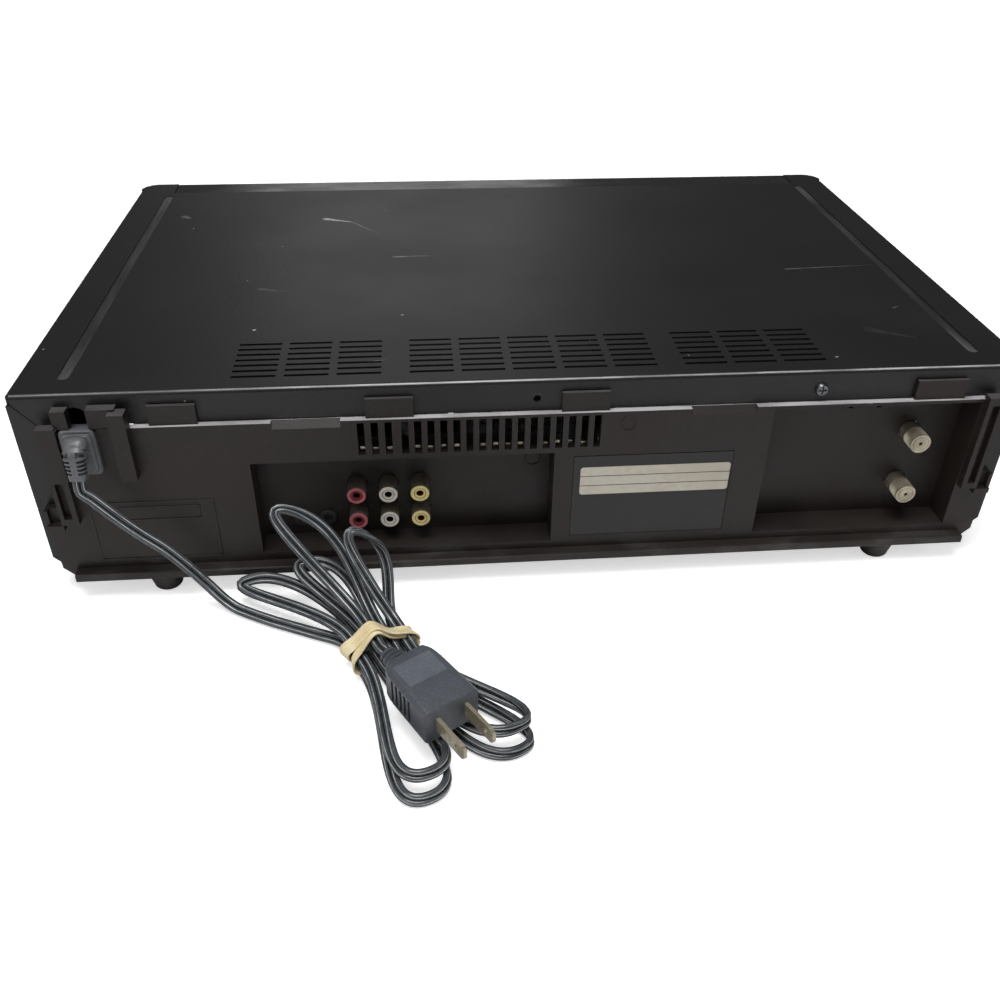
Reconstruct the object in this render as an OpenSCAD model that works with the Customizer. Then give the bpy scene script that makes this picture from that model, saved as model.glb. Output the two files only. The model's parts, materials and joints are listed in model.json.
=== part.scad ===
// Front-loading video cassette recorder with its mains cord tied in a hank. Sizes in millimetres.
// The origin is under the middle of the case, on the surface that it stands on.
// +Z is up and the front faces -Y, so the sockets at the back face +Y.

/* [Case] */
// Width of the case over the metal cover
body_w = 430; // [428:1:440]
// Height from the bottom rim to the top of the cover
body_h = 90; // [90:1:98]
// Depth of the cover from its rear flange to its front edge
cover_d = 272; // [271:1:280]
// How far the front stands proud of the cover's front edge
front_proud = 8; // [6:0.5:10]
// Thickness of the steel sheet of the cover and the bottom plate
sheet_t = 1; // [0.8:0.1:1.2]
// Outside radius of the cover's bends
bend_r = 2; // [1.5:0.25:3]
// Radius of the cover's two front corners, seen from above
corner_r = 10; // [6:1:14]
// Height of the cover's flange at the back
flange_h = 14.3; // [13:0.1:15]
// Width of the cover's flanges at the back of its sides
side_flange_w = 10.6; // [9:0.1:12]
// Height of the feet
foot_h = 10; // [8:0.5:13]
// Radius of a foot at its top
foot_r = 8.5; // [7:0.5:12]
// Wall of the moulded frame
frame_t = 2.5; // [2:0.25:3]

/* [Cover pattern] */
// Length of a slot in the cover
slot_l = 18.5; // [14:0.5:20]
// Width of a slot in the cover
slot_w = 1.8; // [1.2:0.1:2.4]
// Distance between the rows of slots
slot_pitch = 5; // [4:0.25:5.25]
// Rows of slots in a group
slot_rows = 7; // [4:1:7]
// Distance between the groups of slots
slot_group_pitch = 21.8; // [21:0.1:22]
// Distance of the pressed grooves from the middle
groove_x = 195.5; // [185:0.5:200]
// Width of a pressed groove
groove_w = 5; // [3:0.5:7]
// Depth of a pressed groove
groove_depth = 0.5; // [0.3:0.1:0.6]

/* [Rear panel] */
// Thickness of the rear panel
panel_t = 3.2; // [2.6:0.1:3.6]
// How far the bottom rim stands proud of the rear panel
rim_proud = 5; // [3:0.5:7]
// Height of the bottom rim
rim_h = 4; // [3:0.5:6]
// Depth of the two socket recesses
recess_d = 14; // [12:0.5:16]
// Wall of the socket recesses
recess_wall = 2; // [1.5:0.25:2.5]
// Width of a grille slot
grille_slot_w = 3; // [2:0.25:3.25]
// Height of a grille slot
grille_slot_h = 15.6; // [10:0.2:16]
// Distance between the grille slots
grille_pitch = 5.47; // [5:0.05:5.6]

/* [Sockets] */
// Outside radius of a phono socket's sleeve
phono_r = 4.15; // [4:0.05:4.3]
// Distance between the phono sockets across
phono_pitch_x = 14; // [13:0.25:15]
// Distance between the phono sockets up
phono_pitch_z = 13.5; // [12:0.25:14]
// Length of a phono socket in the recess
phono_l = 10; // [8:0.5:12]
// Outside radius of an aerial socket's threaded barrel
aerial_r = 4.75; // [4.6:0.05:4.9]
// Length of an aerial socket in the recess
aerial_l = 12.5; // [11:0.5:13.5]
// Distance between the two aerial sockets
aerial_pitch = 27.5; // [24:0.5:30]

/* [Front] */
// Width of the cassette door
door_w = 194; // [192:0.5:195]
// Height of the cassette door
door_h = 31.5; // [31:0.5:32]
// Thickness of the cassette door
door_t = 2; // [1.6:0.1:2.4]
// Radius of the cassette door's hinge pins
door_pin_r = 1.2; // [1:0.1:1.5]
// How far a key stands proud of the front
key_proud = 1.5; // [1.2:0.1:2]
// How far a key can be pressed
key_travel = 1; // [0.6:0.1:1.1]
// Width of the display window
window_w = 122; // [100:1:126]
// Height of the display window
window_h = 22; // [18:0.5:23]

/* [Tape deck] */
// Thickness of the deck plate
deck_t = 1.5; // [1.2:0.1:2]
// Radius of the head drum
drum_r = 31; // [30:0.5:31.5]
// Tilt of the head drum
drum_tilt = 6; // [4:0.5:7]
// Distance between the two reel spindles
reel_pitch = 92; // [91:0.5:93]
// Radius of a reel table's flange
reel_r = 23; // [20:0.5:24]
// Radius of the capstan
capstan_r = 2; // [1.5:0.25:2.5]
// Radius of the pinch roller
pinch_r = 8; // [7:0.5:9]
// Clear width inside the cassette tray
tray_in_w = 190; // [189:0.5:191]
// Clear height inside the cassette tray
tray_in_h = 26.2; // [25.5:0.1:27]
// How far the tray carries the cassette in
tray_travel_in = 68; // [60:1:68]
// How far the tray lowers the cassette
tray_travel_down = 20; // [16:1:20]
// Module of the loading gears
gear_m = 1; // [1:0.01:1.02]
// Radius of the path of the two tape guides round the drum
guide_path_r = 44; // [43.5:0.25:45]

/* [Cord] */
// Diameter of the mains cord
cord_d = 5.2; // [4.8:0.1:5.4]
// Width of the plug's body
plug_w = 24; // [22:0.5:26]
// Height of the plug's body
plug_h = 15.5; // [14:0.5:16]
// Length of the plug's body
plug_l = 32; // [30:0.5:34]
// Length of the plug's blades
blade_l = 17.5; // [16:0.5:18]

/* [Hidden] */
// Fits
run_gap = 0.05;   // radial clearance of a shaft in its bearing
slip_gap = 0.35;  // clearance all round of a part in its cut-out
seat_gap = 0.3;   // clearance of a part beside its seat

// Levels and planes of the case
z_floor = foot_h + frame_t;             // inside of the bottom
z_top = foot_h + body_h;                // top of the cover
panel_proud = panel_t + seat_gap;       // rear panel beyond the cover's flange
y_rim = (front_proud + key_proud + cover_d + panel_proud + rim_proud) / 2;
y_panel = y_rim - rim_proud;            // outer face of the rear panel
y_flange = y_panel - panel_proud;       // outer face of the cover's rear flange
y_edge = y_flange - cover_d;            // front edge of the cover
y_front = y_edge - front_proud;         // face of the front
y_seam = y_edge + 17.5;                 // back of the front's top ledge
z_flange = z_top - flange_h;            // lower edge of the cover's rear flange
skirt_h = 8.4;                          // height of the frame's sloping skirt
x_side = body_w / 2;
x_frame = x_side - sheet_t - 0.4;       // outside of the frame's side walls
z_skirt = foot_h + skirt_h;
corner_cut = 12;                        // slope of the skirt towards the bottom

$fn = 48;

// ---- Helpers ----

// A block from one corner to the opposite one
module block(lo, hi) {
  translate(lo)
    cube(hi - lo);
}

// The same block on both sides of the middle
module block_pair(lo, hi) {
  block(lo, hi);
  mirror([1, 0, 0])
    block(lo, hi);
}

// Round rods along the three axes
module rod_x(at, r, l) {
  translate(at)
    rotate([0, 90, 0])
      cylinder(r = r, h = l);
}
module rod_y(at, r, l) {
  translate(at)
    rotate([-90, 0, 0])
      cylinder(r = r, h = l);
}
module rod_z(at, r, l) {
  translate(at)
    cylinder(r = r, h = l);
}

// An upright sheet facing +Y: an outline in X and Z, from y on for t
module sheet_y(y, t) {
  translate([0, y + t, 0])
    rotate([90, 0, 0])
      linear_extrude(t)
        children();
}

// A profile in Y and Z carried along X from x on for w
module along_x(x, w) {
  translate([x, 0, 0])
    rotate([90, 0, 90])
      linear_extrude(w)
        children();
}

// The outline of a slot with round ends between two points on one level
module slot_2d(x0, x1, w) {
  translate([x0 + w / 2, -w / 2])
    square([x1 - x0 - w, w]);
  for (x = [x0 + w / 2, x1 - w / 2])
    translate([x, 0])
      circle(d = w);
}

// A bent edge of sheet: legs w and h long from an outer corner at the origin
module bend_2d(w, h) {
  difference() {
    round_leg_2d(w, h, bend_r);
    translate([-sheet_t, -sheet_t])
      round_leg_2d(w, h, bend_r - sheet_t);
  }
}
module round_leg_2d(w, h, r) {
  translate([-w, -h])
    square([w - r, h]);
  translate([-r - 0.01, -h])
    square([r + 0.01, h - r]);
  translate([-r, -r])
    circle(r = r);
}

// ---- Metal cover ----

notch_x = groove_x - groove_w / 2 + 1;
mitre = 0.6;
vent_y0 = y_flange - 40.7;

module cover_plan() {
  x_flat = x_side - bend_r;
  difference() {
    union() {
      translate([-x_flat, y_edge + corner_r])
        square([2 * x_flat, y_flange - bend_r - y_edge - corner_r]);
      translate([-x_side + corner_r, y_edge])
        square([2 * (x_side - corner_r), corner_r + 1]);
      for (s = [-1, 1])
        intersection() {
          translate([s * (x_side - corner_r), y_edge + corner_r])
            circle(r = corner_r);
          translate([-x_side, y_edge])
            square([2 * x_side, corner_r]);
        }
    }
    translate([-notch_x, y_edge - 1])
      square([2 * notch_x, y_seam - y_edge + 1]);
    for (g = [-5.4, -4.4, -3.4, -2, -1, 0, 1, 2, 3.4, 4.4, 5.4], row = [0 : slot_rows - 1])
      translate([g * slot_group_pitch, vent_y0 + row * slot_pitch])
        square([slot_l, slot_w], center = true);
  }
}

module top_cover() {
  side_y0 = y_edge + corner_r;
  side_l = y_flange - bend_r - side_y0;
  groove_y0 = y_seam + 5;
  groove_y1 = y_flange - 13;
  color("#1c1c1e")
    difference() {
      union() {
        translate([0, 0, z_top - sheet_t])
          linear_extrude(sheet_t)
            cover_plan();
        // Side walls with their upper bends
        for (s = [0, 1])
          mirror([s, 0, 0])
            translate([x_side, side_y0 + side_l, z_top])
              rotate([90, 0, 0])
                linear_extrude(side_l)
                  bend_2d(bend_r + 1, z_top - z_skirt);
        // Rear flange with its bend, cut to a mitre at both ends
        difference() {
          along_x(bend_r - x_side, 2 * (x_side - bend_r))
            translate([y_flange, z_top])
              bend_2d(bend_r + 1, flange_h);
          for (s = [0, 1])
            mirror([s, 0, 0])
              sheet_y(y_flange - sheet_t - 1, sheet_t + 2)
                polygon([[x_side - side_flange_w, z_flange - 1],
                  [x_side - side_flange_w, z_flange],
                  [x_side - bend_r, z_top - bend_r - 2],
                  [x_side + 1, z_top - bend_r - 2], [x_side + 1, z_flange - 1]]);
        }
        // Rear flanges of the side walls
        for (s = [0, 1])
          mirror([s, 0, 0])
            sheet_y(y_flange - sheet_t, sheet_t)
              polygon([[x_side - side_flange_w, z_skirt], [x_side, z_skirt],
                [x_side, z_top - bend_r - 2 - mitre],
                [x_side - bend_r, z_top - bend_r - 2 - mitre],
                [x_side - side_flange_w, z_flange - mitre]]);
        block_pair([x_side - sheet_t, y_flange - bend_r - 1, z_skirt],
          [x_side, y_flange, z_top - bend_r - 2 - mitre]);
        // The grooves' ribs inside
        block_pair([groove_x - groove_w / 2 - 1, groove_y0, z_top - sheet_t - groove_depth],
          [groove_x + groove_w / 2 + 1, groove_y1, z_top - sheet_t / 2]);
      }
      for (s = [-1, 1])
        translate([s * groove_x, groove_y0, z_top - groove_depth])
          rotate([0, 0, 90])
            linear_extrude(1)
              slot_2d(0, groove_y1 - groove_y0, groove_w);
      // Hole for a case screw, and the notch above the cord
      rod_y([case_screw_x, y_flange - 3, z_flange + 5.5], case_screw_r + 0.2, 5);
      rod_y([0, y_flange - 3, z_flange + 5.5], 1.6, 5);
      rod_y([cord_x, y_flange - 3, z_flange + 4], 4.2, 5);
      block([cord_x - 4.2, y_flange - 3, z_flange - 1],
        [cord_x + 4.2, y_flange + 2, z_flange + 4]);
    }
}

// ---- Moulded frame, bottom plate, feet and screws ----

case_screw_x = -123;
case_screw_r = 1.5;
service_x = 88;
service_y = 88;
service_lip = 4;
foot_x = x_side - 47.5;
foot_y_rear = y_rim - foot_r - 1;
foot_y_front = y_front + 40;
board_z = z_floor + 7.9;      // underside of the boards
board_t = 1.6;
board_top = board_z + board_t;
deck_z = z_floor + 17.5;      // top of the deck plate
deck_x = 108;
deck_y0 = y_seam + 2;
drum_y = y_front + 211.5;
deck_y1 = drum_y + 36;
boss_r = 5;
deck_bosses = [[-deck_x + 7, deck_y0 + 7], [deck_x - 7, deck_y0 + 7],
  [-deck_x + 7, deck_y1 - 7], [deck_x - 7, deck_y1 - 7]];
psu_x0 = deck_x + 10;
psu_x1 = x_side - 12;
psu_y0 = y_rim - 140;
psu_y1 = y_rim - 24;
main_x0 = -x_side + 9;
main_x1 = -deck_x - 6;
main_y0 = y_front + 32;
main_y1 = y_panel - recess_d - recess_wall - 1;
main_strip_y0 = main_y1 - 11;
board_bosses = [[psu_x0 + 5, psu_y0 + 5], [psu_x1 - 5, psu_y0 + 5], [psu_x0 + 5, psu_y1 - 5],
  [psu_x1 - 5, psu_y1 - 5], [main_x0 + 5, main_y0 + 5], [main_x1 - 5, main_y0 + 5],
  [main_x0 + 5, main_y1 - 5], [100, main_y1 - 5], [-40, main_y1 - 5]];
service_screws = [[-84, -84], [84, -84], [-84, 84], [84, 84]];

module chassis_frame() {
  y1 = y_panel - panel_t;
  wall_h = 58;
  color("#232326") {
    difference() {
      // Tub with a sloping skirt
      sheet_y(y_seam, y1 - y_seam)
        polygon([[corner_cut / 2 + 3 - x_side, foot_h], [x_side - corner_cut / 2 - 3, foot_h],
          [x_side - 0.6, z_skirt], [0.6 - x_side, z_skirt]]);
      block([-x_frame + frame_t, y_seam + frame_t, z_floor],
        [x_frame - frame_t, y1 - frame_t, z_skirt + 1]);
      // Clearance for the recesses of the rear panel
      for (r = [phono_recess, aerial_recess])
        block([r[0][0] - recess_wall - slip_gap, y_recess, r[0][1] - recess_wall - slip_gap],
          [r[1][0] + recess_wall + slip_gap, y1 + 1, z_skirt + 1]);
      // Service opening with a rebate for the bottom plate
      block([-service_x, -service_y, foot_h - 1], [service_x, service_y, z_floor + 1]);
      block([-service_x - service_lip, -service_y - service_lip, foot_h - 1],
        [service_x + service_lip, service_y + service_lip, foot_h + sheet_t]);
      for (x = [-foot_x, foot_x], y = [foot_y_front, foot_y_rear])
        rod_z([x, y, foot_h - 1], 1.3, frame_t + 2);
      // Cooling slots under the power supply
      for (i = [0 : 7])
        block([psu_x0 + 12 + 8 * i, psu_y0 + 30, foot_h - 1],
          [psu_x0 + 15 + 8 * i, psu_y0 + 80, z_floor + 1]);
    }
    // Side walls inside the cover
    block_pair([x_frame - frame_t, y_seam + 1, z_floor], [x_frame, y_flange - 3, z_skirt + wall_h]);
    frame_bosses();
  }
}

module frame_bosses() {
  for (p = deck_bosses)
    difference() {
      rod_z([p[0], p[1], z_floor - 0.5], boss_r, deck_z - deck_t - z_floor + 0.5);
      rod_z([p[0], p[1], z_floor + 3], 1.3, deck_z);
    }
  for (p = board_bosses)
    rod_z([p[0], p[1], z_floor - 0.5], 3.5, board_z - z_floor + 0.5);
}

module bottom_plate() {
  edge = service_lip - seat_gap;
  color("#8d9095")
    difference() {
      block([-service_x - edge, -service_y - edge, foot_h],
        [service_x + edge, service_y + edge, foot_h + sheet_t]);
      for (i = [-9 : 9], y = [-40, 0, 40])
        translate([8 * i, y, foot_h - 1])
          linear_extrude(sheet_t + 2)
            square([3, 26], center = true);
    }
}

module feet() {
  round_r = 2.5;
  color("#141414")
    for (x = [-foot_x, foot_x], y = [foot_y_front, foot_y_rear])
      translate([x, y, 0])
        difference() {
          rotate_extrude()
            union() {
              polygon([[0, 0], [foot_r - 2 - round_r, 0], [foot_r - 2, round_r],
                [foot_r, foot_h], [0, foot_h]]);
              translate([foot_r - 2 - round_r, round_r])
                circle(r = round_r);
            }
          rod_z([0, 0, -1], foot_r * 0.32, 6);
          rod_z([0, 0, 4], 1.5, foot_h);
        }
}

// Pan-head screw with a cross slot, driven along +Z from its head at the origin
module screw(r, l) {
  head_h = 1.4;
  difference() {
    union() {
      translate([0, 0, -head_h])
        cylinder(r1 = r * 1.6, r2 = r * 2, h = head_h);
      cylinder(r = r, h = l);
    }
    for (a = [0, 90])
      rotate([0, 0, a])
        translate([-r * 1.2, -0.35, -head_h - 1])
          cube([r * 2.4, 0.7, 1.8]);
  }
}

module case_screws() {
  color("#5b5d60") {
    // Through the bottom plate into the frame's lip
    for (x = [-1, 1], y = [-1, 1])
      translate([x * (service_x + 2), y * (service_y + 2), foot_h])
        difference() {
          translate([0, 0, -1.4])
            cylinder(r1 = 2.4, r2 = 3, h = 1.4);
          translate([-1.8, -0.35, -2])
            cube([3.6, 0.7, 1.2]);
        }
    // Earthing screw in the rear flange
    translate([case_screw_x, y_flange, z_flange + 5.5])
      rotate([90, 0, 0])
        screw(case_screw_r, 4);
  }
}

// ---- Rear panel ----

recess_z0 = z_floor + 6;
phono_x0 = 78.8;
phono_z0 = recess_z0 + 26.4;
phono_recess = [[phono_x0 - 86.8, recess_z0], [phono_x0 + 43.2, recess_z0 + 47.5]];
aerial_x = -x_side + 41;
aerial_z0 = recess_z0 + 16.5;
aerial_recess = [[aerial_x - 21.5, recess_z0], [aerial_x + 71, z_flange - 1.7]];
y_recess = y_panel - recess_d;
cord_x = x_side - 26.5;
cord_slot_r = 4.6;
cord_z = z_flange - 12;
label_w = 71.5;
label_h = 43;
label_t = 0.5;
label_x = phono_recess[0][0] - 8.5;
label_z0 = recess_z0 + 2.4;
grille_z0 = z_flange - 17.2;
grille_x = [for (i = [0 : 2]) 74.4 - i * (grille_pitch + 0.3), for (i = [0 : 15]) 56 - i * grille_pitch];
tab_x = [[140.5, 160], [52, 72], [-31, -10.5], [aerial_x + 9, aerial_x - 13.5]];
ledge_gap = [[82.5, 111], [-95, -66.5]];
foot_hook_z = z_floor + 25;
hook_w = 6.5;

module panel_outline() {
  x_in = x_side - side_flange_w - 0.4;
  half = [[x_side - 9.5, foot_h], [x_side - 4.5, foot_h + 5], [x_side - 4.5, foot_hook_z + 10],
    [x_in, foot_hook_z + 10], [x_in, z_flange - 0.2]];
  polygon(concat(half, [for (i = [len(half) - 1 : -1 : 0]) [-half[i][0], half[i][1]]]));
}

// A recess moulded behind an opening in the panel, open at the front
module recess_box(r) {
  w = recess_wall;
  top_w = min(w, z_flange - 0.5 - r[1][1]);
  difference() {
    block([r[0][0] - w, y_recess - w, r[0][1] - w], [r[1][0] + w, y_panel - panel_t + 0.1, r[1][1] + top_w]);
    block([r[0][0], y_recess, r[0][1]], [r[1][0], y_panel + 1, r[1][1]]);
  }
}

module rear_panel() {
  color("#232224")
    difference() {
      union() {
        difference() {
          union() {
            sheet_y(y_panel - panel_t, panel_t)
              panel_outline();
            rear_rim();
            cover_tabs();
            cord_guides();
          }
          for (r = [phono_recess, aerial_recess])
            block([r[0][0], y_panel - panel_t - 1, r[0][1]], [r[1][0], y_panel + 1, r[1][1]]);
        }
        recess_box(phono_recess);
        recess_box(aerial_recess);
        for (x = jack_x)
          rod_y([x, y_recess - 0.1, jack_z], 3.4, 1.3);
      }
      for (x = grille_x)
        block([x - grille_slot_w / 2, y_panel - panel_t - 1, grille_z0],
          [x + grille_slot_w / 2, y_panel + 1, grille_z0 + grille_slot_h]);
      for (i = [0 : 2], k = [0, 1])
        rod_y([phono_x0 - i * phono_pitch_x, y_recess - recess_wall - 1, phono_z0 - k * phono_pitch_z],
          phono_r + slip_gap, recess_wall + 2);
      for (k = [0, 1])
        rod_y([aerial_x, y_recess - recess_wall - 1, aerial_z0 + k * aerial_pitch],
          aerial_r + slip_gap, recess_wall + 2);
      for (x = jack_x)
        rod_y([x, y_recess - recess_wall - 1, jack_z], 1.8, recess_wall + 4);
      // Ledge's chamfers, seats of the label and the cord's bushing, and the screw hole
      for (g = ledge_gap)
        along_x(g[0], g[1] - g[0])
          polygon([[y_panel - 2.8, z_flange + 1], [y_panel + 1, z_flange + 1],
            [y_panel + 1, z_flange - 3.2], [y_panel, z_flange - 3.2], [y_panel - 2.8, z_flange - 0.4]]);
      block([label_x - label_w, y_panel - label_t + 0.1, label_z0],
        [label_x, y_panel + 1, label_z0 + label_h]);
      block([cord_x - cord_slot_r, y_panel - panel_t - 1, cord_z - 8],
        [cord_x + cord_slot_r, y_panel + 1, z_flange + 1]);
    }
}

jack_x = [aerial_x + 31, aerial_x + 18];
jack_z = aerial_recess[1][1] - 6.5;

module rear_rim() {
  x = x_side - 10.5;
  along_x(-x, 2 * x)
    polygon([[y_panel - 1, foot_h], [y_rim - 0.6, foot_h], [y_rim, foot_h + 0.6],
      [y_rim, foot_h + rim_h - 0.6], [y_rim - 0.6, foot_h + rim_h], [y_panel - 1, foot_h + rim_h + 0.6]]);
}

// Tongues over the cover's flanges that hold it in
module cover_tabs() {
  tab_y0 = y_flange + seat_gap;
  for (t = tab_x)
    block([min(t[0], t[1]), tab_y0, z_flange - 2], [max(t[0], t[1]), tab_y0 + 1.8, z_flange + 8.8]);
  for (s = [0, 1])
    mirror([s, 0, 0]) {
      block([x_side - side_flange_w - 1, tab_y0, foot_hook_z], [x_side - 4.5, y_panel + 3.4, foot_hook_z + 2.6]);
      block([x_side - 6, tab_y0, foot_hook_z], [x_side - 4.5, y_panel + 2.4, foot_hook_z + 10]);
    }
}

// Raised bars and tongues round the cord's bushing, and the matching bar at the other side
module cord_guides() {
  x_out = x_side - side_flange_w - 0.4;
  bar_y = y_panel + 3.5;
  for (s = [0, 1])
    mirror([s, 0, 0])
      difference() {
        block([x_out - 7.5, y_panel - 1, foot_hook_z + 3], [x_out, bar_y, z_flange + 2]);
        block([x_out - 5.2, y_panel + 0.5, foot_hook_z + 6], [x_out - 1.8, bar_y + 1, z_flange - 2]);
      }
  bushing_half = 7.6;
  block([cord_x + bushing_half, y_panel - 1, cord_z - 12], [x_out, bar_y, z_flange + 1]);
  block([cord_x + 2.5, y_flange + seat_gap, z_flange + 1], [cord_x + 8.5, y_panel + 1.5, z_flange + 9]);
  block([cord_x - 21, y_panel - 1, cord_z - 11], [cord_x - 14.4, y_rim, z_flange + 8.5]);
  block([cord_x - 16.8, y_flange + seat_gap, z_flange + 1], [cord_x - 5.4, y_panel + 1.5, z_flange + 9.4]);
}

module rating_label() {
  color("#26262a")
    block([label_x - label_w + seat_gap, y_panel - label_t + 0.1, label_z0 + seat_gap],
      [label_x - seat_gap, y_panel + 0.1, label_z0 + label_h - seat_gap]);
}

// ---- Sockets ----

shell_t = 0.5;

module rca_shells() {
  housing_y0 = y_recess - recess_wall - 12;
  housing_y1 = y_recess - recess_wall - seat_gap;
  color("#9a968a")
    difference() {
      union() {
        block([phono_x0 - 2 * phono_pitch_x - 7, housing_y0, board_top],
          [phono_x0 + 7, housing_y1, phono_z0 + 8]);
        for (i = [0 : 2], k = [0, 1]) {
          rod_y([phono_x0 - i * phono_pitch_x, y_recess, phono_z0 - k * phono_pitch_z], phono_r, phono_l);
          rod_y([phono_x0 - i * phono_pitch_x, housing_y1 - 1, phono_z0 - k * phono_pitch_z],
            phono_r - 0.25, y_recess - housing_y1 + 1.1);
        }
      }
      for (i = [0 : 2], k = [0, 1])
        rod_y([phono_x0 - i * phono_pitch_x, y_recess, phono_z0 - k * phono_pitch_z],
          phono_r - shell_t, phono_l + 1);
    }
}

// Coloured insulators of one pair of sockets
module rca_rings(column, shade) {
  color(shade)
    for (k = [0, 1])
      difference() {
        rod_y([phono_x0 - column * phono_pitch_x, y_recess, phono_z0 - k * phono_pitch_z],
          phono_r - shell_t - run_gap, phono_l + 0.3);
        rod_y([phono_x0 - column * phono_pitch_x, y_recess + 2, phono_z0 - k * phono_pitch_z],
          1.65, phono_l + 1);
      }
}

module rca_red() rca_rings(0, "#a8323a");
module rca_white() rca_rings(1, "#e8e4d8");
module rca_yellow() rca_rings(2, "#e0c23c");

module rf_connectors() {
  y0 = y_recess - recess_wall - seat_gap;
  color("#b9ab8c")
    for (k = [0, 1])
      difference() {
        union() {
          rod_y([aerial_x, y0, aerial_z0 + k * aerial_pitch], aerial_r, y_recess + aerial_l - y0);
          translate([aerial_x, y_recess + 0.3, aerial_z0 + k * aerial_pitch])
            rotate([-90, 0, 0])
              cylinder(r = aerial_r + 1.6, h = 1.8, $fn = 6);
        }
        rod_y([aerial_x, y_recess + 2, aerial_z0 + k * aerial_pitch], 0.7, aerial_l);
      }
}

module tuner_can() {
  y1 = y_recess - recess_wall - seat_gap;
  x0 = aerial_x - 17;
  x1 = aerial_x + 25;
  z1 = aerial_z0 + aerial_pitch + 12;
  wall = 0.8;
  color("#b5b8ba")
    difference() {
      block([x0, y1 - 42, board_top], [x1, y1, z1]);
      block([x0 + wall, y1 - 42 + wall, board_top + wall], [x1 - wall, y1 - wall, z1 - wall]);
      for (i = [0 : 3])
        rod_z([x0 + 8 + 8.5 * i, y1 - 21, z1 - 2], 2, 3);
    }
}

// ---- Front ----

wall_f = 2.5;
y_wall = y_front + wall_f;              // inside of the front wall
slot_z = deck_z + 25.3;                 // level on which the cassette slides in
door_z0 = slot_z - 2.3;
door_axis_z = door_z0 + door_h - 2;
door_axis_y = y_front + 1.9;
window_z = z_floor + 21.5;
board_y = y_wall + 7;                   // face of the front board
// Keys: middle in X and Z, width and height
key_power = [-x_side + 50, z_floor + 53.5, 26, 9];
key_eject = [door_w / 2 + 26, z_floor + 53.5, 22, 9];
key_rewind = [x_side - 97, z_floor + 28, 18, 8];
key_play = [x_side - 73, z_floor + 28, 22, 8];
key_forward = [x_side - 49, z_floor + 28, 18, 8];
key_pause = [x_side - 97, z_floor + 15, 18, 8];
key_stop = [x_side - 73, z_floor + 15, 22, 8];
key_record = [x_side - 49, z_floor + 15, 18, 8];
keys = [key_power, key_eject, key_rewind, key_play, key_forward, key_pause, key_stop, key_record];

// Side profile of the front, in Y and Z, inset by t; the top is at z_ledge
module front_profile(t, z_ledge) {
  polygon([[y_seam + t, foot_h + t], [y_edge - 2, foot_h + t], [y_front + t, foot_h + 5 + t / 3],
    [y_front + t, z_top - 13 - t / 3], [y_edge + t * 0.7, z_ledge - t], [y_seam + t, z_ledge - t]]);
}

// The front's outline from above, with round corners like the cover's
module front_plan(t) {
  x = x_side - 0.1 - t;
  r = corner_r - t;
  translate([-x + r, y_front - 1])
    square([2 * (x - r), y_seam + 1 - y_front + 1]);
  translate([-x, y_front + corner_r + 2])
    square([2 * x, y_seam + 1 - y_front - corner_r - 2]);
  for (s = [-1, 1])
    translate([s * (x - r), y_front + corner_r + 2])
      scale([1, 1])
        circle(r = r);
  translate([-x + r, y_front - 1])
    square([2 * (x - r), 4]);
}

module front_shell(t) {
  under_cover = z_top - sheet_t - 0.1;
  intersection() {
    union() {
      along_x(-x_side, 2 * x_side)
        front_profile(t, under_cover);
      along_x(-notch_x + 0.3 + t, 2 * (notch_x - 0.3 - t))
        front_profile(t, z_top - 0.4);
    }
    translate([0, 0, foot_h])
      linear_extrude(body_h)
        front_plan(t);
  }
}

module front_panel() {
  color("#17171a")
    difference() {
      union() {
        difference() {
          front_shell(0);
          front_shell(wall_f);
          // Open back, with the ledge and the bottom left
          block([-x_side + wall_f + 1, y_seam - wall_f - 1, foot_h + wall_f],
            [x_side - wall_f - 1, y_seam + 1, z_top - sheet_t - wall_f - 0.5]);
        }
        door_ears();
        // Posts of the front board
        for (x = board_posts)
          rod_y([x, y_wall - 0.5, z_floor + 9], 3, board_y - y_wall + 0.5);
      }
      // Step for the sides of the metal cover
      block_pair([x_side - sheet_t - seat_gap, y_edge + corner_r - seat_gap, z_skirt - seat_gap],
        [x_side + 1, y_seam + 1, z_top]);
      block_pair([x_side - bend_r - seat_gap, y_edge + corner_r - seat_gap, z_top - bend_r - seat_gap],
        [x_side + 1, y_seam + 1, z_top]);
      block([-door_w / 2 - seat_gap, y_front - 1, door_z0 - seat_gap],
        [door_w / 2 + seat_gap, y_wall + 0.5, door_z0 + door_h + seat_gap]);
      block([-window_w / 2 - 0.2, y_front - 1, window_z - window_h / 2 - 0.2],
        [window_w / 2 + 0.2, y_front + 1.5, window_z + window_h / 2 + 0.2]);
      block([-window_w / 2 + 3, y_front - 1, window_z - window_h / 2 + 2.5],
        [window_w / 2 - 3, y_wall + 1, window_z + window_h / 2 - 2.5]);
      for (k = keys)
        block([k[0] - k[2] / 2 - slip_gap, y_front - 1, k[1] - k[3] / 2 - slip_gap],
          [k[0] + k[2] / 2 + slip_gap, y_wall + 1, k[1] + k[3] / 2 + slip_gap]);
      rod_x([-door_w / 2 - 6, door_axis_y, door_axis_z], door_pin_r + run_gap, door_w + 12);
    }
}

board_posts = [-x_side + 40, -80, 80, x_side - 20];

// Ears inside the front that carry the door's pins
module door_ears() {
  for (s = [0, 1])
    mirror([s, 0, 0])
      block([door_w / 2 + seat_gap + 0.3, y_front + 0.5, door_axis_z - 4],
        [door_w / 2 + 3.5, y_wall + 3.5, door_axis_z + 3]);
}

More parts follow.
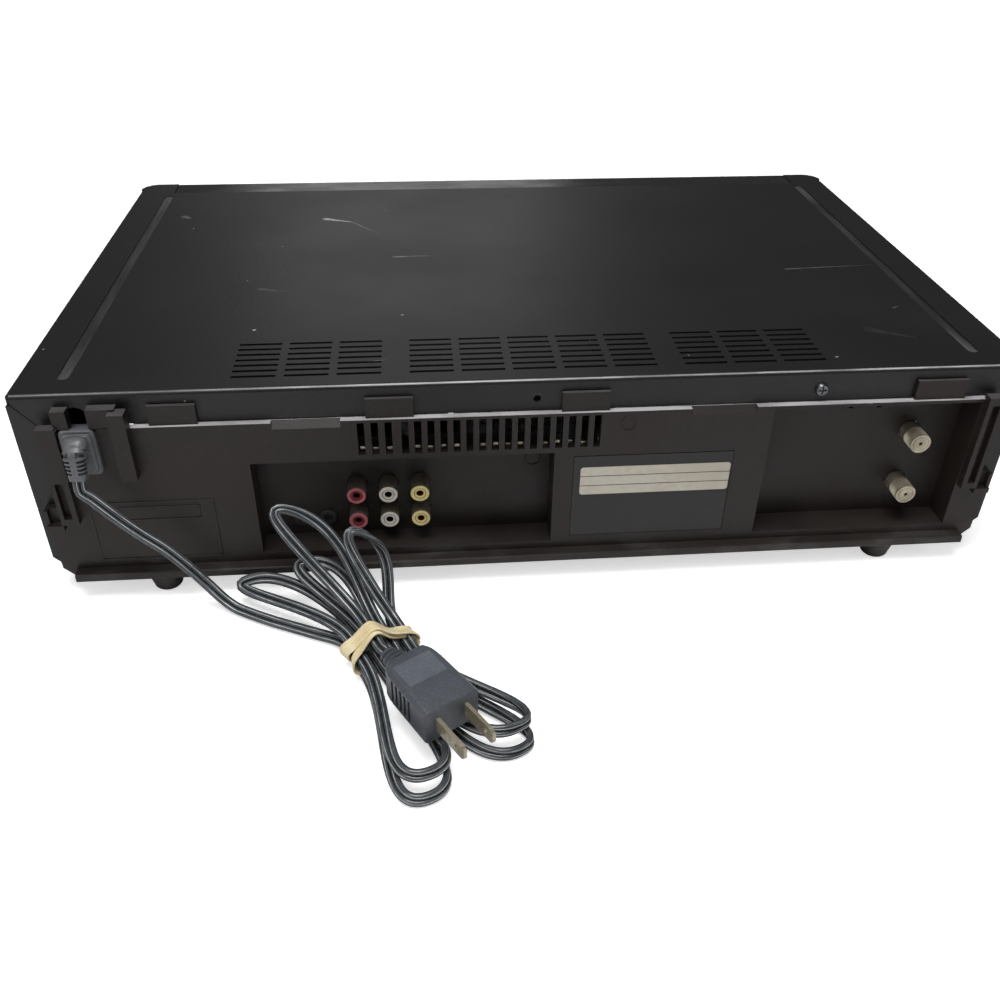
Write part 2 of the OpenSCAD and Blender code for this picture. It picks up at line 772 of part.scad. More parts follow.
module cassette_door() {
  color("#1a1a1d")
    difference() {
      union() {
        block([-door_w / 2, y_front, door_z0], [door_w / 2, y_front + door_t, door_z0 + door_h]);
        // Round back of the hinge, and its pins
        rod_x([-door_w / 2, door_axis_y, door_axis_z], 1.9, door_w);
        rod_x([-door_w / 2 - 3, door_axis_y, door_axis_z], door_pin_r, door_w + 6);
        for (x = [-60, 0, 60])
          block([x - 1, y_front + door_t - 0.1, door_z0 + 2], [x + 1, y_front + door_t + 1.5, door_axis_z]);
      }
      // Shallow finger line along the lower edge
      block([-door_w / 2 - 1, y_front - 1, door_z0 + 3], [door_w / 2 + 1, y_front + 0.4, door_z0 + 4]);
    }
}

module display_window() {
  color("#0c1418")
    block([-window_w / 2, y_front, window_z - window_h / 2],
      [window_w / 2, y_front + 1.5, window_z + window_h / 2]);
}

module front_board() {
  switch_y = board_y - 2.5;
  color("#2c5a3a") {
    block([-x_side + 30, board_y, z_floor + 3], [x_side - 12, board_y + 1.6, z_floor + 36]);
    block([-x_side + 30, board_y, z_floor + 3], [-deck_x - 2, board_y + 1.6, z_floor + 62]);
    block([key_eject[0] - 13, board_y, z_floor + 3], [x_side - 12, board_y + 1.6, z_floor + 62]);
    for (k = keys)
      block([k[0] - 3, switch_y, k[1] - 3], [k[0] + 3, board_y + 0.1, k[1] + 3]);
    // Vacuum display behind the window
    block([-window_w / 2 + 6, y_wall + 0.8, window_z - window_h / 2 + 3],
      [window_w / 2 - 6, board_y + 0.1, window_z + window_h / 2 - 3]);
  }
}

// A key: cap, flange that keeps it in, and the stem that meets its switch
module key(k) {
  flange_y = y_wall + 0.3;
  stem_y1 = board_y - 2.5 - key_travel - 0.15;
  cap_r = 1;
  color("#2e2e32") {
    difference() {
      block([k[0] - k[2] / 2, y_front - key_proud, k[1] - k[3] / 2],
        [k[0] + k[2] / 2, flange_y + 0.5, k[1] + k[3] / 2]);
      // Dished face
      translate([k[0] - k[2], y_front - key_proud - 15 + 0.4, k[1]])
        rotate([0, 90, 0])
          cylinder(r = 15, h = 2 * k[2], $fn = 96);
    }
    block([k[0] - k[2] / 2 - 1.5, flange_y, k[1] - k[3] / 2 - 1],
      [k[0] + k[2] / 2 + 1.5, flange_y + 1.2, k[1] + k[3] / 2 + 1]);
    rod_y([k[0], flange_y + 1, k[1]], cap_r + 0.8, stem_y1 - flange_y - 1);
  }
}

module power_button() key(key_power);
module eject_button() key(key_eject);
module rewind_button() key(key_rewind);
module play_button() key(key_play);
module fast_forward_button() key(key_forward);
module pause_button() key(key_pause);
module stop_button() key(key_stop);
module record_button() key(key_record);

// ---- Boards ----

module main_board() {
  color("#2f5b34")
    translate([0, 0, board_z])
      linear_extrude(board_t)
        polygon([[main_x0, main_y0], [main_x1, main_y0], [main_x1, main_strip_y0],
          [108, main_strip_y0], [108, main_y1], [main_x0, main_y1]]);
}

// A standing electrolytic capacitor with its pressed vent
module capacitor(x, y, r, h) {
  difference() {
    rod_z([x, y, board_top], r, h);
    for (a = [0, 60, 120])
      translate([x, y, board_top + h])
        rotate([0, 0, a])
          cube([r * 1.3, 0.4, 0.6], center = true);
  }
}

// A black flat chip with legs along two sides
module chip(x, y, w, d) {
  block([x, y, board_top + 0.4], [x + w, y + d, board_top + 3]);
  for (i = [0 : 5], side = [-0.8, d - 0.2])
    block([x + w * (i + 0.5) / 6 - 0.5, y + side, board_top],
      [x + w * (i + 0.5) / 6 + 0.5, y + side + 1, board_top + 1.6]);
}

module board_parts() {
  color("#3a3d44") {
    chip(main_x0 + 12, main_y0 + 20, 30, 22);
    chip(main_x0 + 14, main_y0 + 70, 24, 24);
    chip(main_x0 + 9, main_y0 + 118, 36, 14);
    for (i = [0 : 4])
      capacitor(main_x1 - 20, main_y0 + 22 + 24 * i, 4, 11);
    for (i = [0 : 2])
      capacitor(main_x1 + 14 + 18 * i, main_y1 - 5.5, 5, 14);
    capacitor(20, main_y1 - 5.5, 5, 20);
    // Head amplifier's shield
    block([main_x1 - 36, main_y0 + 150, board_top], [main_x1 - 6, main_y0 + 186, board_top + 14]);
  }
}

module psu_board() {
  color("#7a5a32")
    block([psu_x0, psu_y0, board_z], [psu_x1, psu_y1, board_top]);
}

module psu_parts() {
  color("#4a4642") {
    // Transformer: core with its bobbin
    block([psu_x0 + 26, psu_y0 + 40, board_top], [psu_x0 + 60, psu_y0 + 70, board_top + 5]);
    block([psu_x0 + 26, psu_y0 + 40, board_top + 4.9], [psu_x0 + 32, psu_y0 + 70, board_top + 28]);
    block([psu_x0 + 54, psu_y0 + 40, board_top + 4.9], [psu_x0 + 60, psu_y0 + 70, board_top + 28]);
    block([psu_x0 + 26, psu_y0 + 40, board_top + 27.9], [psu_x0 + 60, psu_y0 + 70, board_top + 33]);
    rod_z([psu_x0 + 43, psu_y0 + 55, board_top + 4.9], 10, 23.1);
    capacitor(psu_x1 - 23, psu_y0 + 92, 11, 30);
    for (i = [0 : 2])
      capacitor(psu_x0 + 12 + 14 * i, psu_y0 + 16, 5, 18);
    // Finned heat sink
    block([psu_x0 + 4, psu_y0 + 84, board_top], [psu_x0 + 8, psu_y0 + 110, board_top + 34]);
    for (i = [0 : 4])
      block([psu_x0 + 7.9, psu_y0 + 84 + 6 * i, board_top], [psu_x0 + 20, psu_y0 + 86 + 6 * i, board_top + 34]);
  }
}

// ---- Tape deck: plate and fixed pieces ----

reel_y = drum_y - 118;
capstan_at = [62, drum_y - 34];
pinch_pivot = [88, drum_y - 28];
pinch_l = 18;
pinch_swing = 30;
idler_pivot = [0, reel_y + 32];
idler_l = 26;
post_r = 2;
ring_hub_r = guide_path_r - 4.4;      // round which the loading rings turn
ring_n = 100;                         // teeth of a full loading ring
ring_pr = gear_m * ring_n / 2;
small_n = 20;
cam_n = 48;
pinion_n = 12;
guide_load = 77;                      // swing of the tape guides
supply_start = 240;                   // directions of the guides from the drum at rest
takeup_start = 300;
supply_mesh = 215;                    // direction of the supply ring's gear
gear_dist = ring_pr + gear_m * small_n / 2;
// Two equal gears side by side on the rings' pitch circle
takeup_mesh = supply_mesh + 2 * asin(gear_m * small_n / 2 / gear_dist);
drum_c = [0, drum_y];
supply_gear_at = drum_c + gear_dist * [cos(supply_mesh), sin(supply_mesh)];
takeup_gear_at = drum_c + gear_dist * [cos(takeup_mesh), sin(takeup_mesh)];
cam_dir = 190;
cam_at = supply_gear_at + gear_m * (small_n + cam_n) / 2 * [cos(cam_dir), sin(cam_dir)];
motor_dir = 100;
motor_at = cam_at + gear_m * (cam_n + pinion_n) / 2 * [cos(motor_dir), sin(motor_dir)];
// Levels under the deck plate
z_under = deck_z - deck_t;
ring_hi_z = z_under - 3.5;            // upper ring: supply side
ring_lo_z = z_under - 6.3;            // lower ring: take-up side
gear_lo_z = z_under - 9.5;            // level of the gear train
ring_t = 2.2;

function at_angle(c, r, a) = [c[0] + r * cos(a), c[1] + r * sin(a)];

// Phase of a gear's teeth so that it meshes with another gear
function mesh_phase(theta, phase, n1, n2) = theta + 180 - (phase - theta) * n1 / n2 + 180 / n2;
supply_ring_phase = supply_mesh;
supply_gear_phase = mesh_phase(supply_mesh, supply_ring_phase, ring_n, small_n);
gears_dir = atan2(takeup_gear_at[1] - supply_gear_at[1], takeup_gear_at[0] - supply_gear_at[0]);
takeup_gear_phase = mesh_phase(gears_dir, supply_gear_phase, small_n, small_n);
takeup_ring_phase = mesh_phase(takeup_mesh + 180, takeup_gear_phase, small_n, ring_n);
cam_phase = mesh_phase(cam_dir, supply_gear_phase, small_n, cam_n);
pinion_phase = mesh_phase(motor_dir, cam_phase, cam_n, pinion_n);

// Outline points of teeth number i0 to i1 of a gear
function teeth_pts(n, phase, i0, i1) =
  let (pr = gear_m * n / 2, tip = pr + 0.9 * gear_m, root = pr - 1.2 * gear_m,
    half_tip = 0.3 * gear_m / pr * 57.3, half_root = 1.05 * gear_m / pr * 57.3)
  [for (i = [i0 : i1]) let (a = phase + i * 360 / n)
    each [root * [cos(a - half_root), sin(a - half_root)], tip * [cos(a - half_tip), sin(a - half_tip)],
      tip * [cos(a + half_tip), sin(a + half_tip)], root * [cos(a + half_root), sin(a + half_root)]]];

module gear_2d(n, phase) {
  polygon(teeth_pts(n, phase, 0, n - 1));
}

// A toothed arc between two directions, with a plain inner edge
module ring_sector_2d(phase, a0, a1) {
  step = 360 / ring_n;
  i0 = ceil((a0 - phase) / step);
  i1 = floor((a1 - phase) / step);
  r_in = ring_hub_r + 0.45;
  polygon(concat(teeth_pts(ring_n, phase, i0, i1),
    [for (i = [i1 : -1 : i0]) r_in * [cos(phase + i * step), sin(phase + i * step)]]));
}

// Arc slot in the deck plate for a tape guide
module guide_slot(a0, a1) {
  w = 6.4;
  for (a = [a0, a1])
    translate([guide_path_r * cos(a), guide_path_r * sin(a), -1])
      cylinder(d = w - 0.5, h = deck_t + 2);
  rotate([0, 0, a0])
    rotate_extrude(angle = a1 - a0)
      translate([guide_path_r - w / 2, -1])
        square([w, deck_t + 2]);
}

module mecha_chassis() {
  color("#9ea1a3") {
    difference() {
      block([-deck_x, deck_y0, z_under], [deck_x, deck_y1, deck_z]);
      translate([0, drum_y, z_under]) {
        translate([0, 0, -1])
          cylinder(r = 12, h = deck_t + 2);
        guide_slot(supply_start - guide_load - 1, supply_start + 1);
        guide_slot(takeup_start - 1, takeup_start + guide_load + 1);
      }
      rod_z([capstan_at[0], capstan_at[1], z_under - 1], 6.2, deck_t + 2);
      rod_z([motor_at[0], motor_at[1], z_under - 1], 3, deck_t + 2);
      for (p = deck_bosses)
        rod_z([p[0], p[1], z_under - 1], 1.6, deck_t + 2);
      // Lightening windows beside the reels
      for (s = [-1, 1])
        block([s * 84 - 8, reel_y - 30, z_under - 1], [s * 84 + 8, reel_y + 30, deck_z + 1]);
    }
    // Hub of the loading rings
    difference() {
      union() {
        rod_z([0, drum_y, ring_lo_z - 1.2], ring_hub_r, z_under - ring_lo_z + 1.3);
        rod_z([0, drum_y, ring_lo_z - 1.2], ring_hub_r + 1.8, 0.9);
      }
      rod_z([0, drum_y, ring_lo_z - 3], ring_hub_r - 2.6, z_under);
    }
    // Posts
    for (x = [-reel_pitch / 2, reel_pitch / 2])
      rod_z([x, reel_y, deck_z - 0.1], post_r, 17);
    rod_z([idler_pivot[0], idler_pivot[1], deck_z - 0.1], post_r, 9);
    rod_z([pinch_pivot[0], pinch_pivot[1], deck_z - 0.1], post_r, 12);
    for (p = [supply_gear_at, takeup_gear_at, cam_at])
      rod_z([p[0], p[1], gear_lo_z - 1], post_r, z_under - gear_lo_z + 1.1);
  }
}

// ---- Head drum ----

drum_z = deck_z + 8;

module drum_lower() {
  color("#b9bcc0")
    difference() {
      union() {
        rod_z([0, drum_y, deck_z], drum_r + 2, 4);
        translate([0, drum_y, drum_z])
          rotate([drum_tilt, 0, 0])
            translate([0, 0, -8])
              cylinder(r = drum_r, h = 20, $fn = 96);
      }
      translate([0, drum_y, drum_z])
        rotate([drum_tilt, 0, 0]) {
          translate([0, 0, -20])
            cylinder(r = 7, h = 18);
          translate([0, 0, -5])
            cylinder(r = 3 + run_gap, h = 20);
        }
      block([-60, drum_y - 60, deck_z - 12], [60, drum_y + 60, deck_z]);
    }
}

module drum_upper() {
  color("#cfd2d6")
    translate([0, drum_y, drum_z])
      rotate([drum_tilt, 0, 0])
        difference() {
          union() {
            translate([0, 0, 12.4])
              cylinder(r = drum_r, h = 17.2, $fn = 96);
            translate([0, 0, -15])
              cylinder(r = 3, h = 46);
            // Motor's rotor under the deck plate
            translate([0, 0, -16])
              cylinder(r = 15, h = 3);
          }
          // Turned recess in the top, and the windows of the heads
          translate([0, 0, 27])
            difference() {
              cylinder(r = 22, h = 4);
              translate([0, 0, -1])
                cylinder(r = 9, h = 6);
            }
          for (a = [0 : 90 : 270])
            rotate([0, 0, a])
              translate([drum_r - 2, -2, 12])
                cube([4, 4, 3]);
        }
}

// ---- Capstan and pinch roller ----

module capstan_motor() {
  color("#a58b52")
    translate([capstan_at[0], capstan_at[1], 0])
      difference() {
        union() {
          translate([0, 0, z_under - 9])
            cylinder(r = 14, h = 9);
          translate([0, 0, z_under - 1])
            cylinder(r = 6, h = 12.5);
        }
        translate([0, 0, z_under - 10])
          cylinder(r = capstan_r + run_gap, h = 30);
      }
}

module capstan() {
  color("#d9dcdf")
    translate([capstan_at[0], capstan_at[1], 0])
      difference() {
        union() {
          translate([0, 0, z_floor + 1.3])
            cylinder(r = capstan_r, h = 50);
          translate([0, 0, z_floor + 1.5])
            cylinder(r = 25, h = 5);
        }
        translate([0, 0, z_floor + 4])
          difference() {
            cylinder(r = 21, h = 4);
            translate([0, 0, -1])
              cylinder(r = 6, h = 6);
          }
      }
}

// The arm's direction when the roller meets the capstan, and at rest
pinch_vec = capstan_at - pinch_pivot;
pinch_near = pinch_r + capstan_r + 0.3;
pinch_meet = atan2(pinch_vec[1], pinch_vec[0])
  - acos((pinch_l * pinch_l + pinch_vec * pinch_vec - pinch_near * pinch_near)
    / (2 * pinch_l * norm(pinch_vec)));
pinch_rest = pinch_meet - pinch_swing;
roller_at = at_angle(pinch_pivot, pinch_l, pinch_rest);

module pinch_arm() {
  color("#c2c4c6")
    difference() {
      union() {
        rod_z([pinch_pivot[0], pinch_pivot[1], deck_z + seat_gap], 4.5, 12);
        translate([pinch_pivot[0], pinch_pivot[1], deck_z + 3])
          rotate([0, 0, pinch_rest])
            translate([0, -3.5, 0])
              cube([pinch_l, 7, 3]);
        rod_z([roller_at[0], roller_at[1], deck_z + 2.9], 4.2, 3.2);
        rod_z([roller_at[0], roller_at[1], deck_z + 5], 1.5, 26.5);
      }
      rod_z([pinch_pivot[0], pinch_pivot[1], deck_z - 1], post_r + run_gap, 20);
    }
}

module pinch_roller() {
  z0 = deck_z + 12.5;
  color("#1b1b1b")
    difference() {
      union() {
        rod_z([roller_at[0], roller_at[1], z0], pinch_r, 17);
        rod_z([roller_at[0], roller_at[1], z0 - 1], 3.5, 18.6);
      }
      rod_z([roller_at[0], roller_at[1], z0 - 3], 1.5 + run_gap, 30);
    }
}

// ---- Reels ----

module reel_table(x) {
  color("#e6e3da")
    difference() {
      union() {
        rod_z([x, reel_y, deck_z + 1], reel_r, 3);
        rod_z([x, reel_y, deck_z + 3.9], 13, 2.2);
        rod_z([x, reel_y, deck_z + 6], 5, 10);
        translate([x, reel_y, deck_z + 15.9])
          cylinder(r1 = 5, r2 = 3, h = 2.5);
        for (a = [0, 120, 240])
          translate([x, reel_y, deck_z + 6])
            rotate([0, 0, a])
              translate([0, -1, 0])
                cube([7.5, 2, 9]);
      }
      rod_z([x, reel_y, deck_z - 1], post_r + run_gap, 30);
      for (a = [30 : 60 : 330])
        rod_z([x + 18 * cos(a), reel_y + 18 * sin(a), deck_z], 2.6, 5);
    }
}

module supply_reel_table() reel_table(-reel_pitch / 2);
module takeup_reel_table() reel_table(reel_pitch / 2);

idler_r = 42 - reel_r;
idler_at = idler_pivot - [0, idler_l];

module idler_arm() {
  z0 = deck_z + 5;
  color("#c2c4c6")
    difference() {
      union() {
        rod_z([idler_pivot[0], idler_pivot[1], deck_z + seat_gap], 4, 7.7);
        block([idler_at[0] - 3.5, idler_at[1], z0], [idler_at[0] + 3.5, idler_pivot[1], z0 + 1.5]);
        rod_z([idler_at[0], idler_at[1], z0 - 0.1], 4.2, 1.7);
        rod_z([idler_at[0], idler_at[1], deck_z + 0.6], post_r, 5);
      }
      rod_z([idler_pivot[0], idler_pivot[1], deck_z - 1], post_r + run_gap, 12);
    }
}

module idler_wheel() {
  color("#202020")
    difference() {
      rod_z([idler_at[0], idler_at[1], deck_z + 1], idler_r, 3);
      rod_z([idler_at[0], idler_at[1], deck_z], post_r + run_gap, 5);
      for (a = [0 : 60 : 300])
        rod_z([idler_at[0] + 10 * cos(a), idler_at[1] + 10 * sin(a), deck_z], 3, 5);
    }
}

// ---- Tape guides and their loading rings ----

// A tape guide at a direction from the drum, pinned through the plate down to its ring
module guide_base(a, ring_z, lean) {
  p = at_angle(drum_c, guide_path_r, a);
  pin_z = ring_z + ring_t;
  color("#b08d4a") {
    translate([p[0], p[1], deck_z + seat_gap])
      rotate([0, 0, a])
        translate([-5, -7, 0])
          cube([10, 14, 5]);
    rod_z([p[0], p[1], pin_z], 2.6, deck_z + seat_gap - pin_z + 0.1);
    translate([p[0], p[1], deck_z + 5])
      rotate([0, 0, a])
        translate([0, lean * 3.2, 0]) {
          cylinder(r = 3, h = 23);
          cylinder(r = 4, h = 3);
          translate([0, 0, 21])
            cylinder(r = 4, h = 3);
          translate([0, 0, 23.9])
            cylinder(r = 1.2, h = 2.5);
        }
    // Slanted post beside the roller
    translate([p[0], p[1], deck_z + 4.5])
      rotate([0, 0, a])
        translate([0, -lean * 4, 0])
          rotate([-lean * 8, 0, 0])
            cylinder(r = 1.6, h = 22);
  }
}

module supply_guide_base() guide_base(supply_start, ring_hi_z, 1);
module takeup_guide_base() guide_base(takeup_start, ring_lo_z, -1);

module loading_ring(z, phase, a0, a1, shade) {
  color(shade)
    translate([0, drum_y, z])
      linear_extrude(ring_t)
        ring_sector_2d(phase, a0, a1);
}

module supply_loading_ring()
  loading_ring(ring_hi_z, supply_ring_phase, supply_mesh - 10, supply_mesh + guide_load + 3, "#d8cfae");
module takeup_loading_ring()
  loading_ring(ring_lo_z, takeup_ring_phase, takeup_mesh - guide_load - 10, takeup_start + 6, "#cfd8e0");

module supply_ring_gear() {
  color("#e6e3da")
    translate([supply_gear_at[0], supply_gear_at[1], 0])
      difference() {
        union() {
          translate([0, 0, gear_lo_z])
            linear_extrude(2.4)
              gear_2d(small_n, supply_gear_phase);
          translate([0, 0, gear_lo_z + 2.3])
            cylinder(r = 5, h = ring_hi_z - gear_lo_z - 2);
          translate([0, 0, ring_hi_z])
            linear_extrude(ring_t)
              gear_2d(small_n, supply_gear_phase);
        }
        translate([0, 0, gear_lo_z - 1])
          cylinder(r = post_r + run_gap, h = 20);
      }
}

module takeup_ring_gear() {
  color("#d8e0e6")
    translate([takeup_gear_at[0], takeup_gear_at[1], 0])
      difference() {
        translate([0, 0, gear_lo_z])
          linear_extrude(ring_lo_z + ring_t - gear_lo_z)
            gear_2d(small_n, takeup_gear_phase);
        translate([0, 0, gear_lo_z - 1])
          cylinder(r = post_r + run_gap, h = 20);
      }
}

module cam_gear() {
  color("#e9e5d8")
    translate([cam_at[0], cam_at[1], 0])
      difference() {
        union() {
          translate([0, 0, gear_lo_z])
            linear_extrude(2.4)
              gear_2d(cam_n, cam_phase);
          translate([0, 0, gear_lo_z + 2.3])
            cylinder(r = 20, h = 3);
          translate([0, 0, gear_lo_z + 5])
            cylinder(r = 5, h = z_under - gear_lo_z - 5.3);
        }
        translate([0, 0, gear_lo_z - 1])
          cylinder(r = post_r + run_gap, h = 20);
        // Cam track, off centre
        translate([3, 0, gear_lo_z + 3.5])
          difference() {
            cylinder(r = 15, h = 3);
            translate([0, 0, -1])
              cylinder(r = 11.5, h = 5);
          }
      }
}

module motor_pinion() {
  color("#d8b45a")
    translate([motor_at[0], motor_at[1], 0]) {
      translate([0, 0, gear_lo_z])
        linear_extrude(3)
          gear_2d(pinion_n, pinion_phase);
      translate([0, 0, gear_lo_z + 2.9])
        cylinder(r = 1, h = deck_z + 8 - gear_lo_z - 2.9);
    }
}

module loading_motor() {
  color("#a9acb0")
    translate([motor_at[0], motor_at[1], deck_z])
      difference() {
        union() {
          cylinder(r = 12, h = 24);
          translate([0, 0, 23.9])
            cylinder(r = 5, h = 2);
        }
        translate([0, 0, -1])
          cylinder(r = 1 + run_gap, h = 10);
        for (s = [-1, 1])
          translate([s * 12 - 1, -5, 18])
            cube([2, 10, 7]);
      }
}

module tape_heads() {
  color("#8f9296") {
    // Full erase head, and the sound and control head
    for (h = [[at_angle(drum_c, 60, 197), 17], [at_angle(drum_c, 58, 355), -5]])
      translate([h[0][0], h[0][1], deck_z])
        rotate([0, 0, h[1]]) {
          translate([-5, -5, 0])
            cube([10, 10, 2]);
          translate([-3.5, -3.5, 1.9])
            cube([7, 7, 6.2]);
          difference() {
            translate([-4, -5, 8])
              cube([8, 10, 18]);
            translate([-5, -0.3, 12])
              cube([10, 0.6, 10]);
          }
        }
  }
}

post_at = [[-72, drum_y - 26], [-46, drum_y - 34.5], [49, drum_y - 30]];

module tape_posts() {
  color("#c9ccd0")
    for (p = post_at) {
      rod_z([p[0], p[1], deck_z], 4, 3);
      rod_z([p[0], p[1], deck_z + 2.9], 1.5, 28);
      rod_z([p[0], p[1], deck_z + 6.5], 3.8, 1.5);
      rod_z([p[0], p[1], deck_z + 7.9], 2.8, 17.2);
      rod_z([p[0], p[1], deck_z + 25], 3.8, 1.5);
    }
}

// ---- Cassette tray ----

tray_t = 1.5;
tray_x = tray_in_w / 2 + tray_t;             // outside of the tray
slider_x = tray_x + 0.4;                     // inside of the slider
slider_x1 = slider_x + tray_t;
bracket_x = slider_x1 + 0.5;                 // inside of the brackets
tray_y0 = y_front + 32.5;
tray_y1 = tray_y0 + 73;
tray_z0 = slot_z - tray_t;
tray_z1 = slot_z + tray_in_h + tray_t;
pin_r = 1.5;
pin_gap = 0.3;
tray_pin_z = slot_z + 13;
tray_pin_y = [tray_y0 + 20, tray_y1 - 18];
slider_pin_z = slot_z + 23;
slider_pin_y = [tray_y0 + 12, tray_y1 - 10];

module cassette_tray() {
  ledge_w = 11;
  color("#a7aaad") {
    difference() {
      block([-tray_x, tray_y0, tray_z1 - tray_t], [tray_x, tray_y1, tray_z1]);
      block([-62, tray_y0 + 16, tray_z1 - tray_t - 1], [62, tray_y1 - 14, tray_z1 + 1]);
    }
    block_pair([tray_x - tray_t, tray_y0, tray_z0], [tray_x, tray_y1, tray_z1]);
    block_pair([tray_x - ledge_w, tray_y0, tray_z0], [tray_x, tray_y1, slot_z]);
    // Stops behind the cassette
    block_pair([tray_x - 20, tray_y1 - tray_t, slot_z - 0.1], [tray_x - 1, tray_y1, slot_z + 9]);
    for (y = tray_pin_y) {
      rod_x([tray_x - 0.1, y, tray_pin_z], pin_r, slider_x1 - tray_x + 0.2);
      rod_x([-slider_x1 - 0.1, y, tray_pin_z], pin_r, slider_x1 - tray_x + 0.2);
    }
  }
}

module tray_slider() {
  z0 = tray_pin_z - tray_travel_down - 7;
  z1 = tray_z1 + 2;
  slot = pin_r + pin_gap;
  color("#c4c6c8") {
    difference() {
      block_pair([slider_x, tray_y0, z0], [slider_x1, tray_y1, z1 + 1]);
      for (y = tray_pin_y, x = [-slider_x1 - 1, slider_x - 1]) {
        rod_x([x, y, tray_pin_z], slot, tray_t + 2);
        rod_x([x, y, tray_pin_z - tray_travel_down], slot, tray_t + 2);
        block([x, y - slot, tray_pin_z - tray_travel_down], [x + tray_t + 2, y + slot, tray_pin_z]);
      }
    }
    // Bridge over the tray
    block([-slider_x1, tray_y0 + 34, z1], [slider_x1, tray_y0 + 46, z1 + 1.5]);
    for (y = slider_pin_y) {
      rod_x([slider_x1 - 0.1, y, slider_pin_z], pin_r, bracket_x + tray_t - slider_x1);
      rod_x([-bracket_x - tray_t + 0.1, y, slider_pin_z], pin_r, bracket_x + tray_t - slider_x1);
    }
  }
}

module tray_brackets() {
  y0 = tray_y0 + 2;
  y1 = tray_y1 + tray_travel_in + 3;
  z1 = slider_pin_z + 9;
  slot = pin_r + pin_gap;
  color("#8f9295") {
    difference() {
      block_pair([bracket_x, y0, deck_z], [bracket_x + tray_t, y1, z1]);
      for (x = [-bracket_x - tray_t - 1, bracket_x - 1]) {
        block([x, slider_pin_y[0] - slot, slider_pin_z - slot],
          [x + tray_t + 2, slider_pin_y[1] + tray_travel_in + slot, slider_pin_z + slot]);
        for (i = [0 : 2])
          block([x, y0 + 10 + 44 * i, deck_z + 12], [x + tray_t + 2, y0 + 40 + 44 * i, slider_pin_z - 9]);
      }
    }
    for (y = [y0, y1 - 16])
      block_pair([bracket_x, y, deck_z], [min(bracket_x + 8, deck_x), y + 16, deck_z + tray_t]);
  }
}

// ---- Mains cord ----

cord_r = cord_d / 2;
relief_top = [cord_x, y_panel + 8.5, cord_z + 9];
relief_dir = unit([0, 0.2, -1]);
relief_l = 14;
lead_start = relief_top + relief_l * relief_dir;
waist = [69, 194];                    // middle of the hank, where its band is
hank_dir = 114;                       // direction of the hank's axis
plug_dir = 122;
col_pitch = cord_d + 1.8;             // strands in the band, side by side
layer_pitch = cord_d + 0.7;           // and on each other
waist_half = 8;
ea = [cos(hank_dir), sin(hank_dir), 0];
eb = [-sin(hank_dir), cos(hank_dir), 0];
lead_dir = unit([-0.9, 0.436, 0]);
lead_end = [98, 177.8, 2.8];
plug_way = unit([cos(plug_dir), sin(plug_dir), 0.2]);
// Route of the lead from the strain relief down to the hank
lead_route = [[185.5, 153, 61], [177.5, 153.5, 51.5], [169, 154, 42.5], [160, 154, 33.5], [152, 153.5, 22.5],
  [146, 153.5, 13.5], [140, 155.5, 6.5], [134, 159, 3.4], [127, 163, 2.8], [117.5, 168.3, 2.8], [110, 172, 2.8]];

function unit(v) = v / norm(v);
function strand(column, layer) = [waist[0], waist[1], cord_r + 1.5 + layer * layer_pitch]
  + eb * col_pitch * (column - 1.5);
function hank_point(a, b, z) = [waist[0], waist[1], z] + a * ea + b * eb;
function bezier(p, t) = pow(1 - t, 3) * p[0] + 3 * t * pow(1 - t, 2) * p[1]
  + 3 * t * t * (1 - t) * p[2] + pow(t, 3) * p[3];

// Each loop of the hank: the strands that it joins, the end of the waist, its far point, the
// way that it passes there, and how far it holds its direction at the waist and at the far point
loops = [
  [strand(0, 0), strand(1, 0), 1, hank_point(75, -13, 2.8), eb, 28, 28, 22, 19],
  [strand(1, 0), strand(0, 1), -1, [128, 149.5, 11], [0.95, 0, -0.3], 22, 26, 20, 19],
  [strand(0, 1), strand(1, 1), 1, hank_point(69, -10, 8.7), eb, 26, 26, 22, 18],
  [strand(1, 1), strand(2, 0), -1, [100, 152, 22], [-1, 0, 0], 22, 26, 18, 18],
  [strand(2, 0), strand(3, 0), 1, hank_point(71, 25, 2.8), eb, 26, 26, 19, 23],
  [strand(3, 0), strand(3, 1), -1, [76, 157, 40], [1, 0, 0.6], 22, 12, 20, 20],
  [strand(3, 1), strand(2, 1), 1, hank_point(65, 27, 8.7), -eb, 26, 26, 23, 19],
  [strand(2, 1), strand(1, 2), -1, [107, 149, 48], [1, 0, 0.35], 29, 26, 26, 22]];

// Points of the hank, with a number of steps in each half loop
function hank_path(steps) = concat([lead_end], [for (i = [1 : 3])
  bezier([lead_end, lead_end + 8 * lead_dir, strand(0, 0) - (waist_half + 8) * ea,
    strand(0, 0) - waist_half * ea], i / 3)],
  [for (l = loops, k = [0 : 2 * steps]) let (way = unit(l[4]), side = l[2] * ea,
    a = l[0] + waist_half * side, b = l[1] + waist_half * side, t = k / steps)
    t <= 1 ? bezier([a, a + l[5] * side, l[3] - l[7] * way, l[3]], t)
      : bezier([l[3], l[3] + l[8] * way, b + l[6] * side, b], t - 1)],
  [strand(1, 2) + waist_half * ea, strand(1, 2) + waist_half * ea + (cord_d + 1) * plug_way]);

